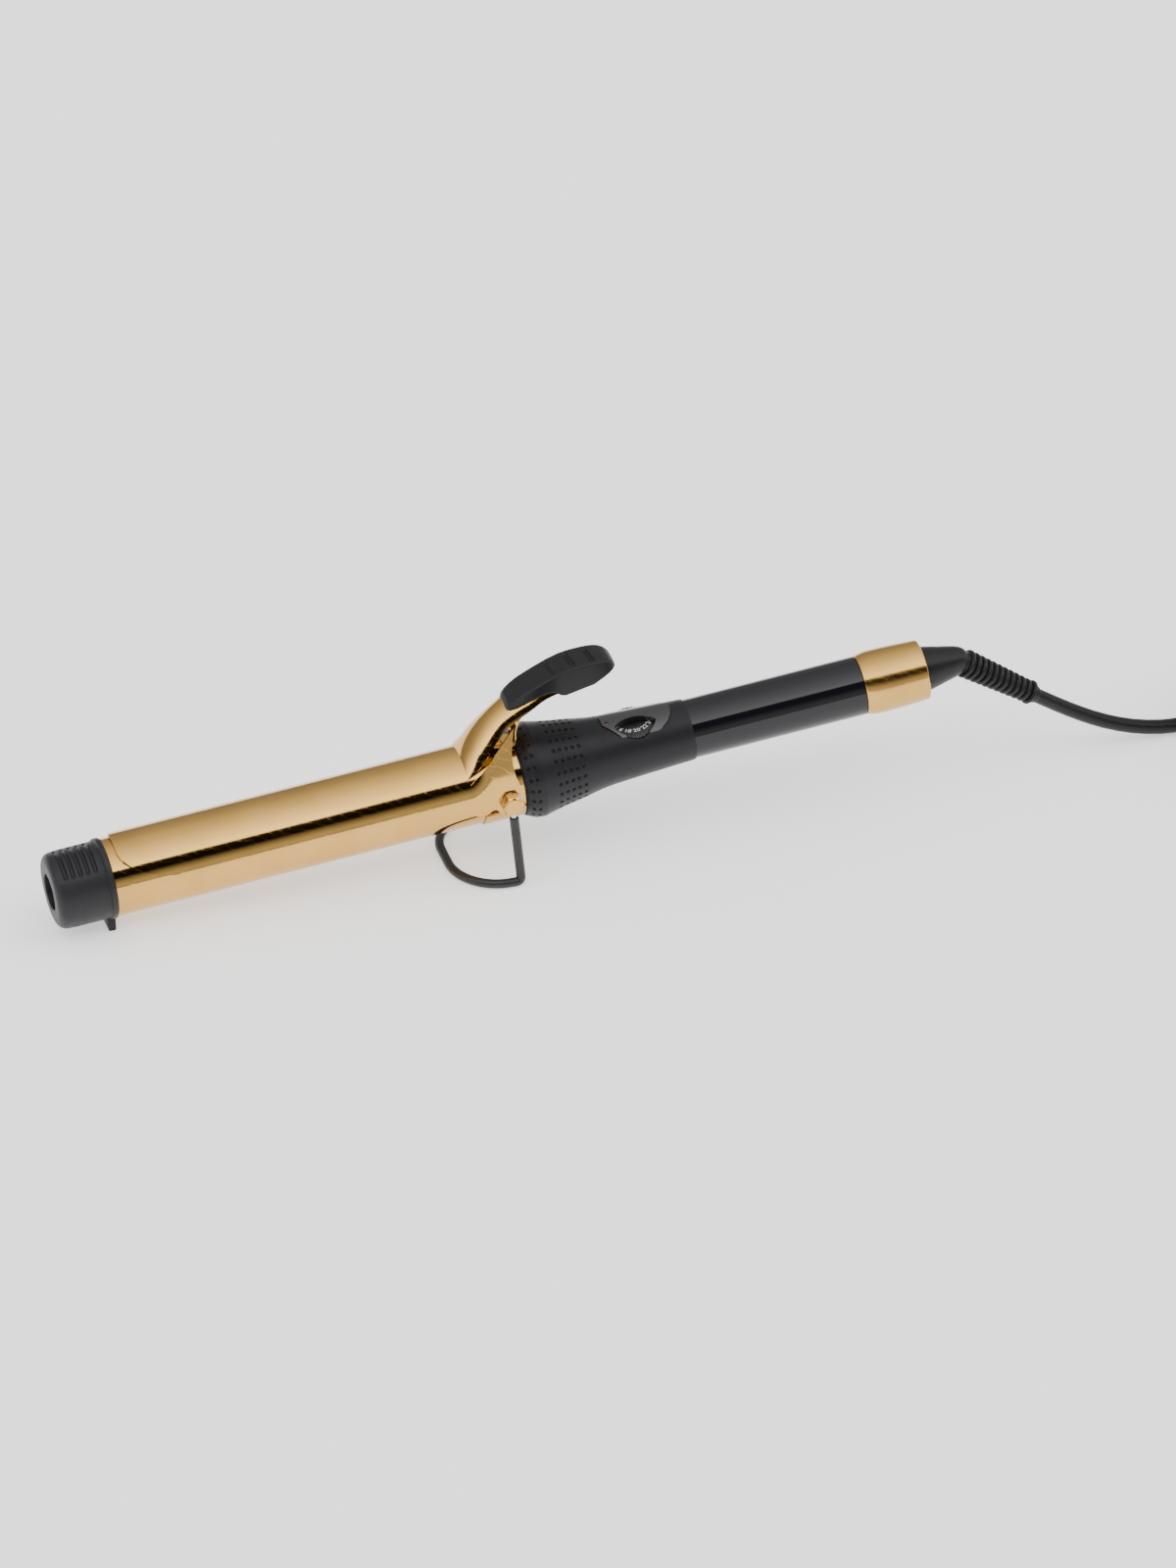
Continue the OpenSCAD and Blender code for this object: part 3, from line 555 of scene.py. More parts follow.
def circleThrough(a, b, c):
    d = 2 * (a.x * (b.y - c.y) + b.x * (c.y - a.y) + c.x * (a.y - b.y))
    aa, bb, cc = a.length_squared, b.length_squared, c.length_squared
    middle = Vector(((aa * (b.y - c.y) + bb * (c.y - a.y) + cc * (a.y - b.y)) / d,
                     (aa * (c.x - b.x) + bb * (a.x - c.x) + cc * (b.x - a.x)) / d))
    return middle, (a - middle).length


crownMiddle, crownRadius = circleThrough(*crownPoints)
angleOf = [math.atan2((p - crownMiddle).y, (p - crownMiddle).x) for p in crownPoints]


def leverPoint(t, u):
    # t along the lever in mm from the crease, u from -1 to 1 across it
    a = angleOf[0] - t / crownRadius
    crown = crownMiddle + crownRadius * Vector((math.cos(a), math.sin(a)))
    up = Vector((0, 1)).lerp(Vector((math.cos(a), math.sin(a))), eased(t / 7)).normalized()
    half = math.radians(mixed(clampSizes["leverAngle"], clampSizes["throatAngle"], eased(t / 24)))
    radius = mixed(outer, clampSizes["throatRadius"], eased(t / 24))
    radius *= mixed(1, 0.9, eased((t - 34) / 12))
    down = radius * (1 - math.cos(half * u))
    return place(crown.x - up.x * down, -radius * math.sin(half * u), crown.y - up.y * down)


leverLength = (angleOf[0] - angleOf[2]) * crownRadius
leverAngles = [a for a in angles if abs(a) <= clampSizes["leverAngle"]]
leverRows = [[leverPoint(leverLength * i / 60, a / clampSizes["leverAngle"]) for a in leverAngles]
             for i in range(61)]
faces += gridFaces(61, len(leverAngles), first=len(points))
points += [p for row in leverRows for p in row]

# Side view of one cheek: its seam with the lever, then its free edge round the hinge
cheekInner = [(crease, 9.92), (149.3, 9.9), (154.3, 13.7), (160.9, 20.9), (166.5, 26),
              (170.2, 29.2)]
cheekOuter = [(140, 3.89), (142.7, 2.5), (148, -2.5), (153, -4), (156, -2.6), (157.2, -1.9),
              (158.2, -3), (160, -5), (163, -6.1), (166, -5.7), (168.2, -4), (169.6, -1),
              (169.6, 2.6), (168.4, 7), (167.3, 12), (167.6, 20), (170.2, 29.2)]


def cheekSide(s, z):
    # Round like the barrel in front, leaning inward above the hinge, with a raised hinge boss
    roundY = math.sqrt(max(1, outer ** 2 - max(z, 0) ** 2))
    leaningY = outer - 0.34 * 1.6 * math.log(1 + math.exp((z - 7) / 1.6))
    fromHinge = math.hypot(s - resting["hinge"], z)
    return mixed(roundY, leaningY, eased((s - crease) / 10)) + 0.3 * eased((7.6 - fromHinge) / 2.4)


for side in (-1, 1):
    inner = [(s, outer * math.cos(math.radians(clampSizes["angle"]))) for s in rearSteps]
    inner += [(crease, outer * math.cos(math.radians(a))) for a in range(75, 54, -2)]
    inner += [tuple(p) for p in evenly(cheekInner, 61)[1:]]
    border = evenly(curveThrough([(x, z, 0) for x, z in cheekOuter], 8), len(inner))
    rows = []
    for v in range(41):
        row = []
        for i, (a, b) in enumerate(zip(inner, border)):
            s, z = mixed(a[0], b.x, v / 40), mixed(a[1], b.y, v / 40)
            row.append(place(s, side * cheekSide(s, z), z))
        rows.append(row)
    faces += gridFaces(41, len(inner), first=len(points))
    points += [p for row in rows for p in row]
clampSheet = build("clampSheet", points, faces, goldPlate, 50)
soften(thicken(clampSheet, clampSizes["sheet"]), 0.18)
show(settle(clampSheet), "clamp", "gold_plate", "clamp_plate", "clamp_lever", "hinge_yoke")

# Fixed band under the hinge
bandSizes = {"from": 153.5, "to": 170.4, "outer": 16.9, "sheet": 0.83, "cutAt": -5}
bandHalf = math.acos(-bandSizes["cutAt"] / bandSizes["outer"])
bandRows = []
for i in range(13):
    s = mixed(bandSizes["from"], bandSizes["to"], i / 12)
    bandRows.append([place(s, bandSizes["outer"] * math.sin(a), -bandSizes["outer"] * math.cos(a))
                     for a in [mixed(-bandHalf, bandHalf, k / 60) for k in range(61)]])
band = soften(thicken(grid("hingeBand", bandRows, goldPlate), bandSizes["sheet"]), 0.15)
show(settle(band), "iron", "gold_plate", "hinge_band")
print("clamp and band made")

# Hinge nuts, outline as (y, radius), the middle part of it six-sided
nutSizes = {"outline": [(18.3, 3.6), (18.3, 4.4), (18.7, 4.8), (21.2, 4.8), (21.7, 4.3),
                        (21.75, 3.6), (22.2, 3.5), (22.3, 3.2)], "sixSided": range(1, 5)}
hingeX, hingeZ = place(resting["hinge"], 0, 0).x * 1000, resting["hingeHeight"]
nuts = []
for side in (-1, 1):
    rows = []
    for step, (y, radius) in enumerate(nutSizes["outline"]):
        row = []
        for k in range(48):
            a = 2 * math.pi * k / 48
            hexagon = math.cos(math.pi / 6) / math.cos((a % (math.pi / 3)) - math.pi / 6)
            flat = radius * (hexagon if step in nutSizes["sixSided"] else 1)
            row.append(table(hingeX + flat * math.cos(a), side * y, hingeZ + flat * math.sin(a)))
        rows.append(row)
    nuts.append(grid("nut", rows, goldPlate, ring=True, caps=True))
show(join("hingeNuts", *nuts), "stand", "gold_plate", "stand_bosses")

# Stand: bare wire from the hinge, then a black sleeve round the loop on the table

standSizes = {"wire": 1.1, "sleeve": 1.9, "bare": 2.9, "topY": 20.3, "topZ": 33.32,
              "halfWidth": 25, "corner": 20, "lean": 2, "reach": 24.5, "bend": 1.5,
              "sleeveBend": 2.4}
footX = hingeX + standSizes["lean"]


def standLine(trim, bend):
    # Down one leg, round the loop on the table and up the other leg
    wide, corner = standSizes["halfWidth"], standSizes["corner"]
    top = Vector((hingeX, standSizes["topY"], standSizes["topZ"]))
    low = Vector((footX, wide, standSizes["sleeve"]))
    down = (low - top).normalized()
    halfPath = [top + down * trim, mixed(top, low, 0.5), low - down * bend]
    for k in range(1, 8):
        t = k / 8
        halfPath.append((1 - t) ** 2 * (low - down * bend) + 2 * t * (1 - t) * low
                        + t * t * (low + Vector((-bend, 0, 0))))
    halfPath.append(low + Vector((-bend, 0, 0)))
    middle = Vector((footX - standSizes["reach"] + corner, wide - corner, low.z))
    for k in range(25):
        a = math.pi / 2 * k / 24
        halfPath.append(middle + corner * Vector((-math.sin(a), math.cos(a), 0)))
    other = [Vector((p.x, -p.y, p.z)) for p in reversed(halfPath)]
    return [p / 1000 for p in halfPath + other]


standWire = sweep("standWire", standLine(-0.2, standSizes["bend"]), standSizes["wire"],
                  steelBright, 20)
show(standWire, "stand", "steel", "stand_wire")
bareLine = standLine(standSizes["bare"], standSizes["sleeveBend"])
sleeveLine = [bareLine[0], bareLine[0].lerp(bareLine[1], 0.02), *bareLine[1:-1],
              bareLine[-1].lerp(bareLine[-2], 0.02), bareLine[-1]]
sleeveRadii = [standSizes["sleeve"]] * len(sleeveLine)
sleeveRadii[0] = sleeveRadii[-1] = 0.72 * standSizes["sleeve"]
standSleeve = sweep("standSleeve", sleeveLine, sleeveRadii, sleeveBlack, 24)
show(standSleeve, "stand", "sleeve_black", "stand_sleeve")
print("stand made")

# Thumb rest: top, underside and half width, each by the place along the barrel
thumbTop = [(168.5, 35), (169.2, 36.6), (170.5, 38.1), (173.5, 40.2), (177, 42), (185, 45.1),
            (190, 46.9), (195.4, 48.3), (200, 48.75), (205, 48.7), (209, 48.4), (211.5, 47.8),
            (213.5, 46.9), (215, 45.7), (215.7, 44.5)]
thumbLow = [(168.5, 34.6), (170.5, 36.4), (176, 38.9), (183, 40.5), (187.5, 40.7), (189.5, 40.2),
            (191.5, 38.3), (193.5, 37.7), (199, 38.6), (205.5, 39.6), (211, 42.1), (215.7, 44.1)]
thumbHalf = [(168.5, 2.8), (169, 4.6), (170, 6.3), (172, 7.6), (175, 8.4), (180, 8.9), (186, 9),
             (206, 9), (210, 8.7), (212.5, 8.1), (214, 7.2), (215.2, 5.8), (215.7, 4.4)]
thumbGrooves = {"at": (190, 198, 206), "half": 1.0, "depth": 0.9}
rows = []
for i in range(237):
    s = mixed(thumbTop[0][0], thumbTop[-1][0], i / 236)
    top, low, half = valueAt(thumbTop, s), valueAt(thumbLow, s), valueAt(thumbHalf, s)
    tall = max(top - low, 0.4)
    section = rounded([(-half * 0.93, low), (-half, low + tall * 0.12), (-half * 0.77, top - 0.5),
                       *[(half * k / 10, top + 0.12 * (1 - (k / 7) ** 2)) for k in range(-7, 8)],
                       (half * 0.77, top - 0.5),
                       (half, low + tall * 0.12), (half * 0.93, low)],
                      [0, min(0.8, tall * 0.1), min(0.6, tall * 0.3)] + [0] * 15
                      + [min(0.6, tall * 0.3), min(0.8, tall * 0.1), 0], 5, True)
    for k, (y, z) in enumerate(section):
        away = min(abs(s + y * 0.15 - groove) for groove in thumbGrooves["at"])
        if away < thumbGrooves["half"] and z > top - 2.2:
            depth = thumbGrooves["depth"] * math.sqrt(1 - (away / thumbGrooves["half"]) ** 2)
            section[k] = (y, z - depth * eased((half * 0.62 - abs(y)) / 1.2))
    rows.append([place(s, y, z) for y, z in section])
thumbRest = grid("thumbRest", rows, blackMatte, ring=True, caps=True, sharp=42)
show(thumbRest, "clamp", "black_matte", "thumb_rest")

# Leaf spring

springSizes = {"line": [(167, 16.35), (169.6, 16.45), (171.2, 17.0), (171.6, 18.6), (172.5, 25),
                        (176.8, 32.3), (181, 36), (184, 38)], "half": 4.5, "sheet": 0.6}
springLine = evenly(curveThrough([(s, z, 0) for s, z in springSizes["line"]], 8), 60)
half = springSizes["half"]
rows = [[place(p.x, y, p.y) for y in (-half, 0.3 - half, -2, 0, 2, half - 0.3, half)]
        for p in springLine]
spring = grid("clampSpring", rows, goldPlate, sharp=60)
settle(soften(thicken(spring, springSizes["sheet"], 0), 0.12))
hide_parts("clamp_spring")
place(171, 0, 18)
place(183, 0, 37)
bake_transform(spring)
print("thumb rest and spring made")

# Grip, panel and dial

gripSizes = {"start": 171, "profile": [(0, 17.2), (0.35, 17.5), (3.6, 18.95), (4.2, 19.22),
                                       (7.0, 19.58), (7.9, 19.58), (8.9, 19.3), (16, 17.75),
                                       (25, 16.3), (31, 15.15), (37, 14.35), (45, 13.8),
                                       (53, 13.4), (62, 12.95), (71.6, 12.52), (72, 12.3)],
             "dimples": {"size": 0.8, "depth": 0.75, "across": 24, "rows": 5, "first": 185,
                         "pitch": 2.7}}
profileLine = curveThrough([(s, r, 0) for s, r in gripSizes["profile"]], 3)
profile = [(gripSizes["start"] + p.x, p.y) for p in profileLine]
gripFine = []
for (s0, r0), (s1, r1) in zip(profile, profile[1:]):
    steps = max(1, round((s1 - s0) / (0.3 if 172 < s0 < 199 else 1.5)))
    gripFine += [(mixed(s0, s1, k / steps), mixed(r0, r1, k / steps)) for k in range(steps)]
gripFine.append(profile[-1])
grip = lathe("frontGrip", gripFine + [(243, 11.2), (230, 10.6), (204, 10.5), (190, 14.5),
                                      (180, 17.25), (172, 17.25), (172, 16.85), (171, 16.85)],
             gripRubber, 360, closed=True)

dimplePoints = []
dimples = gripSizes["dimples"]
for column in range(dimples["across"]):
    around = 2 * math.pi * (column + 0.5) / dimples["across"]
    spots = [dimples["first"] + dimples["pitch"] * k for k in range(dimples["rows"])]
    spots += [173.2, 175.6]
    for s in spots:
        radius = valueAt(profile, s)
        if abs(around - math.pi) < 0.1:
            continue
        dimplePoints.append(place(s, -radius * math.sin(around), radius * math.cos(around)))
dimpleMesh = bpy.data.meshes.new("dimpleCentres")
dimpleMesh.from_pydata([tuple(p) for p in dimplePoints], [], [])
dimpleCentres = bpy.data.objects.new("dimpleCentres", dimpleMesh)
bpy.context.scene.collection.objects.link(dimpleCentres)


class Tree(Graph):
    # A geometry tree with named inputs
    def __init__(self, name, inputs):
        group = bpy.data.node_groups.new(name, "GeometryNodeTree")
        super().__init__(group)
        group.interface.new_socket("Geometry", in_out="OUTPUT", socket_type="NodeSocketGeometry")
        group.interface.new_socket("Geometry", in_out="INPUT", socket_type="NodeSocketGeometry")
        for key, kind in inputs.items():
            group.interface.new_socket(key, in_out="INPUT", socket_type="NodeSocket" + kind)
        self.start = group.nodes.new("NodeGroupInput")

    def given(self, key):
        return Link(self, self.start.outputs[key])

    def end(self, shape):
        self.node("NodeGroupOutput", {}, {0: shape})

    def onto(self, piece, values):
        change = piece.modifiers.new(self.tree.name, "NODES")
        change.node_group = self.tree
        for item in self.tree.interface.items_tree:
            if item.item_type == "SOCKET" and item.in_out == "INPUT" and item.name in values:
                change[item.identifier] = values[item.name]
        return piece


pits = Tree("pressedDimples", {"Centres": "Object", "Radius": "Float", "Depth": "Float",
                               "Finish": "Material"})
centres = pits.node("GeometryNodeObjectInfo", {}, {0: pits.given("Centres")}, out="Geometry")
near = pits.node("GeometryNodeProximity", {"target_element": "POINTS"}, {0: centres},
                 out="Distance")
inside = 1 - (near / pits.given("Radius")).between(0.55, 1.1)
normal = pits.node("GeometryNodeInputNormal", {})
push = pits.node("ShaderNodeVectorMath", {"operation": "SCALE"},
                 {0: normal, "Scale": inside * pits.given("Depth") * -1})
moved = pits.node("GeometryNodeSetPosition", {}, {"Geometry": pits.given("Geometry"),
                                                  "Offset": push})
pits.end(pits.node("GeometryNodeSetMaterial", {}, {"Geometry": moved,
                                                   "Material": pits.given("Finish")}))
pits.onto(grip, {"Centres": dimpleCentres, "Radius": dimples["size"] / 1000,
                 "Depth": dimples["depth"] / 1000, "Finish": gripRubber})
settle(grip)
bpy.data.objects.remove(dimpleCentres)


def panelOutline(grow):
    corners = [(208 - grow, -3 - grow), (214 - grow / 2, -9 - grow)]
    corners += [(228 + (9 + grow) * math.cos(a), (9 + grow) * math.sin(a))
                for a in [-math.pi / 2 + math.pi * k / 24 for k in range(25)]]
    corners += [(214 - grow / 2, 9 + grow), (208 - grow, 3 + grow)]
    return rounded(corners, [1.2, 2.5] + [0] * 25 + [2.5, 1.2], 4, True)


dialSizes = {"radius": 9.8, "room": 0.35, "middle": 221, "top": 11.1, "thick": 3,
             "window": 12.6, "near": -1.4, "far": 7.2}
dialX, dialTop = dialSizes["middle"], dialSizes["top"]
dialLow = dialTop - dialSizes["thick"]


def dialRoom(low, high, material):
    return extrude("tool", disc((dialX, 0), dialSizes["radius"] + dialSizes["room"]), low, high,
                   material)


grip = cut(grip, extrude("tool", panelOutline(0.12), 9, 30, gripRubber),
           dialRoom(dialLow - 0.3, dialTop + 0.25, gripRubber))
show(grip, "iron", "grip_rubber", "front_grip")
raised = [(s, r + 0.5) for s, r in profile[1:-1]]
panel = lathe("controlPanel", [(gripSizes["start"], 0)] + raised + [(242, 0)], panelGloss, 240)
panel = cut(panel, extrude("tool", panelOutline(0), 9, 30, panelGloss), keep=True)
windows = []
for middle in (dialSizes["near"] - dialSizes["window"], dialSizes["far"] + dialSizes["window"]):
    window = extrude("tool", disc((dialX, middle), dialSizes["window"], 160), 10, 30, panelGloss)
    windows.append(cut(window, dialRoom(9.9, 30.1, panelGloss), keep=True))
lightHole = extrude("tool", disc((210, -2.2), 0.85, 32), 5, 30, panelGloss)
panel = cut(panel, *windows, dialRoom(dialLow - 0.3, dialTop + 0.25, panelGloss), lightHole)
settle(soften(panel, 0.3, 3, 35))
show(panel, "iron", "panel_gloss", "control_panel")
print("grip and panel made")

# Dial with a milled rim and printed numbers
dialRibs = {"count": 36, "depth": 0.28}
rim = dialSizes["radius"]
rows = []
for z, radius in [(dialLow, 1.5), (dialLow, rim - 0.6), (dialLow + 0.2, rim - 0.2),
                  (dialLow + 0.4, rim), (dialTop - 0.35, rim), (dialTop - 0.15, rim - 0.15),
                  (dialTop, rim - 0.45), (dialTop, 1.5)]:
    row = []
    for k in range(288):
        a = 2 * math.pi * k / 288
        rib = dialRibs["depth"] * (0.5 + 0.5 * math.cos(a * dialRibs["count"])) ** 2
        ribbed = radius - (rib if radius > rim - 0.5 else 0)
        row.append(place(dialX + ribbed * math.cos(a), ribbed * math.sin(a), z))
    rows.append(row)
dialDisc = grid("dialDisc", rows, dialBlack, ring=True, caps=True, sharp=40)
show(dialDisc, "heat_dial", "dial_black", "dial")

numberSizes = {"height": 3.0, "radius": 7.0, "count": 12}
figures = []
for k in range(numberSizes["count"]):
    turn = 2 * math.pi * k / numberSizes["count"]
    letters = bpy.data.curves.new("figure", "FONT")
    letters.body, letters.size = str(2 * (k + 1)), numberSizes["height"] / 1000
    letters.align_x, letters.align_y, letters.resolution_u = "CENTER", "CENTER", 3
    holder = bpy.data.objects.new("figure", letters)
    bpy.context.scene.collection.objects.link(holder)
    bpy.context.view_layer.update()
    mesh = bpy.data.meshes.new_from_object(holder.evaluated_get(
        bpy.context.evaluated_depsgraph_get()))
    out = Vector((math.cos(turn), math.sin(turn)))
    for vertex in mesh.vertices:
        x, y = vertex.co.x * 1000, vertex.co.y * 1000
        at = out * (numberSizes["radius"] - y) + Vector((-out.y, out.x)) * x
        vertex.co = place(dialX + at.x, at.y, dialTop + 0.03)
    piece = bpy.data.objects.new("figure", mesh)
    bpy.context.scene.collection.objects.link(piece)
    mesh.materials.clear()
    mesh.materials.append(printWhite)
    bpy.data.objects.remove(holder)
    figures.append(piece)
show(join("dialNumbers", *figures), "heat_dial", "dial_black")
print("dial made")

# Handle tube, collar, swivel

handleSizes = {"radius": 12, "from": 243.1, "to": 315.85}
tube, start, end = handleSizes["radius"], handleSizes["from"], handleSizes["to"]
handleTube = lathe("handleTube", [(start, tube - 1), (start, tube - 0.2), (start + 0.2, tube),
                                  (280, tube), (end - 0.25, tube), (end, tube - 0.25),
                                  (end, tube - 1.4)], blackGloss, 160)
show(handleTube, "iron", "black_gloss", "handle_tube")
collarProfile = curveThrough([(316.1, 11.5, 0), (316.25, 11.95, 0), (318, 12.45, 0),
                              (320.6, 12.9, 0), (324, 12.95, 0), (330, 12.85, 0),
                              (341, 12.35, 0), (341.9, 12.15, 0), (342.4, 11.75, 0),
                              (342.5, 11.2, 0)], 4)
collar = lathe("endCollar", [(p.x, p.y) for p in collarProfile]
               + [(342.3, 10.5), (341, 10.4), (340.9, 10.6), (316.1, 10.6)], goldCollar, 192, True)
show(collar, "iron", "gold_plate", "end_collar")

swivelSizes = {"neck": 357.5, "drop": 41, "length": 41}
dropAngle = math.radians(swivelSizes["drop"])
hub = lathe("swivelHub", [(333, 2.4), (333, 7), (342.8, 7), (342.8, 8.6), (343.1, 9.0),
                          (344.6, 8.9), (350, 7.6), (354, 6.7), (357, 6.0), (359, 5.3), (360.6, 4.2),
                          (361.5, 3.0), (361.7, 2.4)], blackMatte, 128, closed=True)
show(hub, "cord_end", "black_matte", "swivel_hub")


def reliefPoint(t):
    return place(swivelSizes["neck"] + t * math.cos(dropAngle), 0, -t * math.sin(dropAngle))


reliefSizes = {"rings": 12, "first": 4.4, "pitch": 3.0, "ring": (6.0, 4.75), "lastRing": 5.1,
               "width": 4.6, "core": (4.9, 3.6), "ends": (4.2, 3.2)}
line = [reliefPoint(swivelSizes["length"] * k / 40) for k in range(41)]
radii = [mixed(*reliefSizes["core"], k / 40) for k in range(41)]
radii[0], radii[-1] = reliefSizes["ends"]
reliefCore = sweep("strainRelief", line, radii, cordBlack, 48)

# Ring ribs set along the relief by geometry nodes
placing = bpy.data.meshes.new("ringPlaces")
rings = reliefSizes["rings"]
places = [reliefPoint(reliefSizes["first"] + reliefSizes["pitch"] * k) for k in range(rings)]
placing.from_pydata([tuple(p) for p in places], [], [])
growth = placing.attributes.new("growth", "FLOAT", "POINT")
growth.data.foreach_set("value", [mixed(*reliefSizes["ring"], k / (rings - 1))
                                  for k in range(rings - 1)] + [reliefSizes["lastRing"]])
ringPlaces = bpy.data.objects.new("reliefRings", placing)
bpy.context.scene.collection.objects.link(ringPlaces)
ribs = Tree("ringRibs", {"Width": "Float", "Tilt": "Vector", "Finish": "Material"})
circle = ribs.node("GeometryNodeCurvePrimitiveCircle", {}, {"Resolution": 48, "Radius": 0.00079})
section = ribs.node("GeometryNodeCurvePrimitiveCircle", {}, {"Resolution": 16, "Radius": 0.00021})
ringShape = ribs.node("GeometryNodeCurveToMesh", {}, {0: circle, 1: section})
size = ribs.node("GeometryNodeInputNamedAttribute", {"data_type": "FLOAT"}, {0: "growth"})
scaling = ribs.node("ShaderNodeCombineXYZ", {}, {0: size, 1: size, 2: ribs.given("Width")})
spread = ribs.node("GeometryNodeInstanceOnPoints", {}, {
    "Points": ribs.given("Geometry"), "Instance": ringShape, "Rotation": ribs.given("Tilt"),
    "Scale": scaling})
solid = ribs.node("GeometryNodeRealizeInstances", {}, {0: spread})
solid = ribs.node("GeometryNodeSetShadeSmooth", {}, {0: solid})
ribs.end(ribs.node("GeometryNodeSetMaterial", {}, {"Geometry": solid,
                                                   "Material": ribs.given("Finish")}))
ribs.onto(ringPlaces, {"Width": reliefSizes["width"], "Finish": cordBlack,
                       "Tilt": (0, math.pi / 2 - slope + dropAngle, 0)})
reliefRings = settle(ringPlaces)
show(join("strainRelief", reliefCore, reliefRings), "cord_end", "cord_black", "strain_relief")
print("handle end made")

# Cord: down to the table, along it, then wound up for storage with its plug on top

cordSizes = {"diameter": 6, "columns": (37.3, 31.15, 25), "middle": (315, -25.3), "turns": 2.75,
             "low": 3.1, "pitch": 6.1, "exit": (205.75, 0, 30.3)}
plugSizes = {"at": (290, -25.3, 30), "points": 64}
run = [(201.5, 0, 33.3), (206, 0, 30.1), (214, 0, 24.4), (224, 0, 17.8), (235, 0, 11.6),
       (247, 0, 6.7), (259, 0, 3.9), (269, 0.5, 3.1), (279, 2.7, 3.1), (290, 6.2, 3.1),
       (302, 10.2, 3.1)]
# Three columns of turns, the outermost first: up, down, up, then half a turn over the top
columns, turns = cordSizes["columns"], cordSizes["turns"]
coilX, coilY = cordSizes["middle"]
high = cordSizes["low"] + turns * cordSizes["pitch"]
allTurns, steps, coilPoints = len(columns) * turns, 24, []
for k in range(int((allTurns + 0.5) * steps) + 1):
    turn = k / steps
    column = min(int(turn / turns), len(columns) - 1)
    part = turn / turns - column
    radius = columns[column]
    if column:
        radius = mixed(columns[column - 1], radius, eased((turn - column * turns) / 0.3))
    if turn <= allTurns:
        height = mixed(cordSizes["low"], high, 1 - part if column == 1 else part)
    else:
        height = mixed(high, plugSizes["at"][2], eased((turn - allTurns) / 0.5))
    a = math.pi / 2 - 2 * math.pi * turn
    coilPoints.append((coilX + radius * math.cos(a), coilY + radius * math.sin(a), height))
cordLine = [table(*p) for p in run + coilPoints]
cordCurve = bpy.data.curves.new("mainsCord", "CURVE")
cordCurve.dimensions, cordCurve.bevel_depth = "3D", cordSizes["diameter"] / 2000
cordCurve.bevel_resolution, cordCurve.resolution_u, cordCurve.use_fill_caps = 4, 2, True
spline = cordCurve.splines.new("BEZIER")
spline.bezier_points.add(len(cordLine) - 1)
for i, p in enumerate(cordLine):
    knot = spline.bezier_points[i]
    before, after = cordLine[max(i - 1, 0)], cordLine[min(i + 1, len(cordLine) - 1)]
    way = (after - before).normalized()
    knot.co = p
    knot.handle_left = p - way * (p - before).length / 3
    knot.handle_right = p + way * (after - p).length / 3
mainsCord = bpy.data.objects.new("mainsCord", cordCurve)
bpy.context.scene.collection.objects.link(mainsCord)
cordCurve.materials.append(cordBlack)
show(mainsCord, "cord_end", "cord_black", "cord_run", "cord_coil", "cord_tail")

# Plug body: rounded block with finger ribs and a tapering tail
plugX, plugY, plugZ = plugSizes["at"]
rows = []
for along, width, height in [(0, 7.4, 7.4), (1, 8.2, 8.2), (3, 8.4, 8.4), (3.4, 7.4, 7.4),
                             (5, 7.6, 7.6), (5.4, 9.4, 9.4), (7.6, 9.6, 9.6), (8, 8.4, 8.4),
                             (9.6, 8.8, 8.6), (10, 10.8, 10.2), (12.4, 11.6, 10.6),
                             (12.8, 10.2, 9.6), (14.2, 11, 10), (15, 14, 11.5), (16, 20, 12.8),
                             (17.5, 27, 13.7), (19.5, 32, 14), (22, 33.4, 14), (25, 32.6, 13.6),
                             (28, 32.4, 13.6), (31, 33.6, 14), (35, 35, 14), (37.3, 35, 14),
                             (38, 34.2, 13.2)]:
    row = []
    flat = (width - height) / 2
    for k in range(plugSizes["points"]):
        a = 2 * math.pi * (k + 0.5) / plugSizes["points"]
        x = height / 2 * math.cos(a) + (flat if math.cos(a) > 0 else -flat)
        row.append(table(plugX + x, plugY + along, plugZ + height / 2 * math.sin(a)))
    rows.append(row)
plugBody = grid("plugBody", rows, blackMatte, ring=True, caps=True, sharp=28)
show(plugBody, "cord_end", "black_matte", "plug_body")
print("plug made")

# Floor, light and camera

stageSizes = {"floor": 6.0, "glow": 0.8}
floorMesh = bpy.data.meshes.new("floor")
half = stageSizes["floor"]
floorMesh.from_pydata([(-half, -half, 0), (half, -half, 0), (half, half, 0), (-half, half, 0)], [],
                      [(0, 1, 2, 3)])
floor = bpy.data.objects.new("floor", floorMesh)
bpy.context.scene.collection.objects.link(floor)


def paper(graph, colour, roughness):
    fibre = graph.noise(graph.along(), 0.4, 4)
    return {"Base Color": graph.blendColours(fibre, tinted(colour, 0.99), colour),
            "Roughness": roughness, "Emission Color": (1, 1, 1, 1),
            "Emission Strength": stageSizes["glow"]}


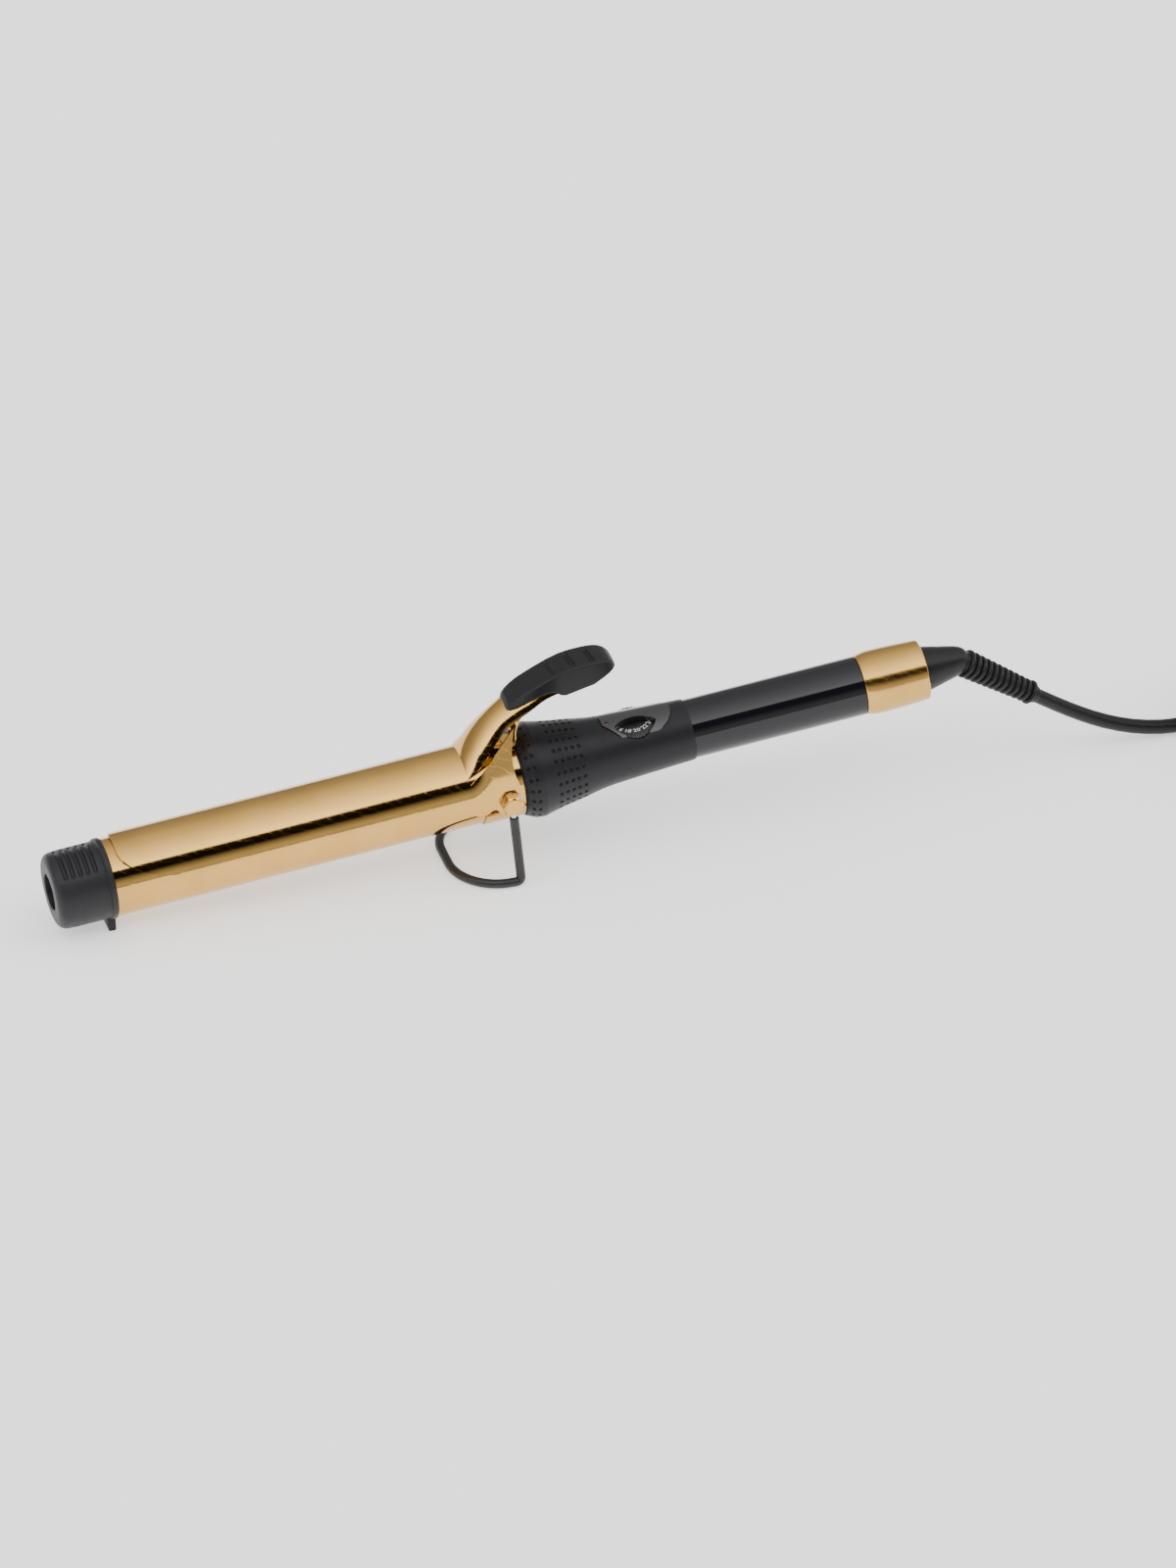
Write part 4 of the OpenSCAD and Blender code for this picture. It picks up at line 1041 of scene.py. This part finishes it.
floorMesh.materials.append(finish("palePaper", (0.95, 0.95, 0.95, 1), 0.9, paper))

# Light by the angle round the iron in degrees, 0 being straight up and 90 the camera's side
studioSizes = {"strength": 1.5,
               "softboxes": [(-180, 0.3), (-95, 0.25), (-75, 0.3), (-50, 0.45), (-15, 0.85),
                             (20, 1.5), (37, 2.0), (40, 1.9), (41.4, 0.01), (61, 0.005),
                             (73, 0.3), (82, 0.5), (92, 0.35), (180, 0.3)]}
world = bpy.data.worlds.new("studio")
bpy.context.scene.world = world
world.use_nodes = True
sky = Graph(world.node_tree)
way = sky.node("ShaderNodeTexCoord", out="Generated")
toward = sky.node("ShaderNodeSeparateXYZ", {}, {0: way}, out="Y") * -1
upward = sky.node("ShaderNodeSeparateXYZ", {}, {0: way}, out="Z")
around = toward.maths("ARCTAN2", upward) * (180 / math.pi)
level = (around + 180) / 360
ramp = sky.node("ShaderNodeValToRGB", {"stops": [((turn + 180) / 360, (v, v, v, 1))
                                                 for turn, v in studioSizes["softboxes"]]},
                {0: level})
lamp = sky.node("ShaderNodeBackground", {}, {"Color": ramp, "Strength": studioSizes["strength"]})
sky.node("ShaderNodeOutputWorld", {}, {"Surface": lamp})

cameraSizes = {"azimuth": -17, "elevation": 35, "distance": 10, "lens": 573.7,
               "right": 0.0358, "up": -0.0026}
a, e = math.radians(cameraSizes["azimuth"]), math.radians(cameraSizes["elevation"])
back = Vector((math.sin(a) * math.cos(e), -math.cos(a) * math.cos(e), math.sin(e)))
right = Vector((math.cos(a), math.sin(a), 0))
up = back.cross(right)
aim = place(resting["hinge"], 0, 0) + right * cameraSizes["right"] + up * cameraSizes["up"]
cameraData = bpy.data.cameras.new("camera")
cameraData.lens, cameraData.sensor_width = cameraSizes["lens"], 36
cameraData.clip_start, cameraData.clip_end = 0.1, 30
camera = bpy.data.objects.new("camera", cameraData)
bpy.context.scene.collection.objects.link(camera)
camera.location = aim + back * cameraSizes["distance"]
camera.rotation_euler = (-back).to_track_quat("-Z", "Y").to_euler()
bpy.context.scene.camera = camera
print("studio made")
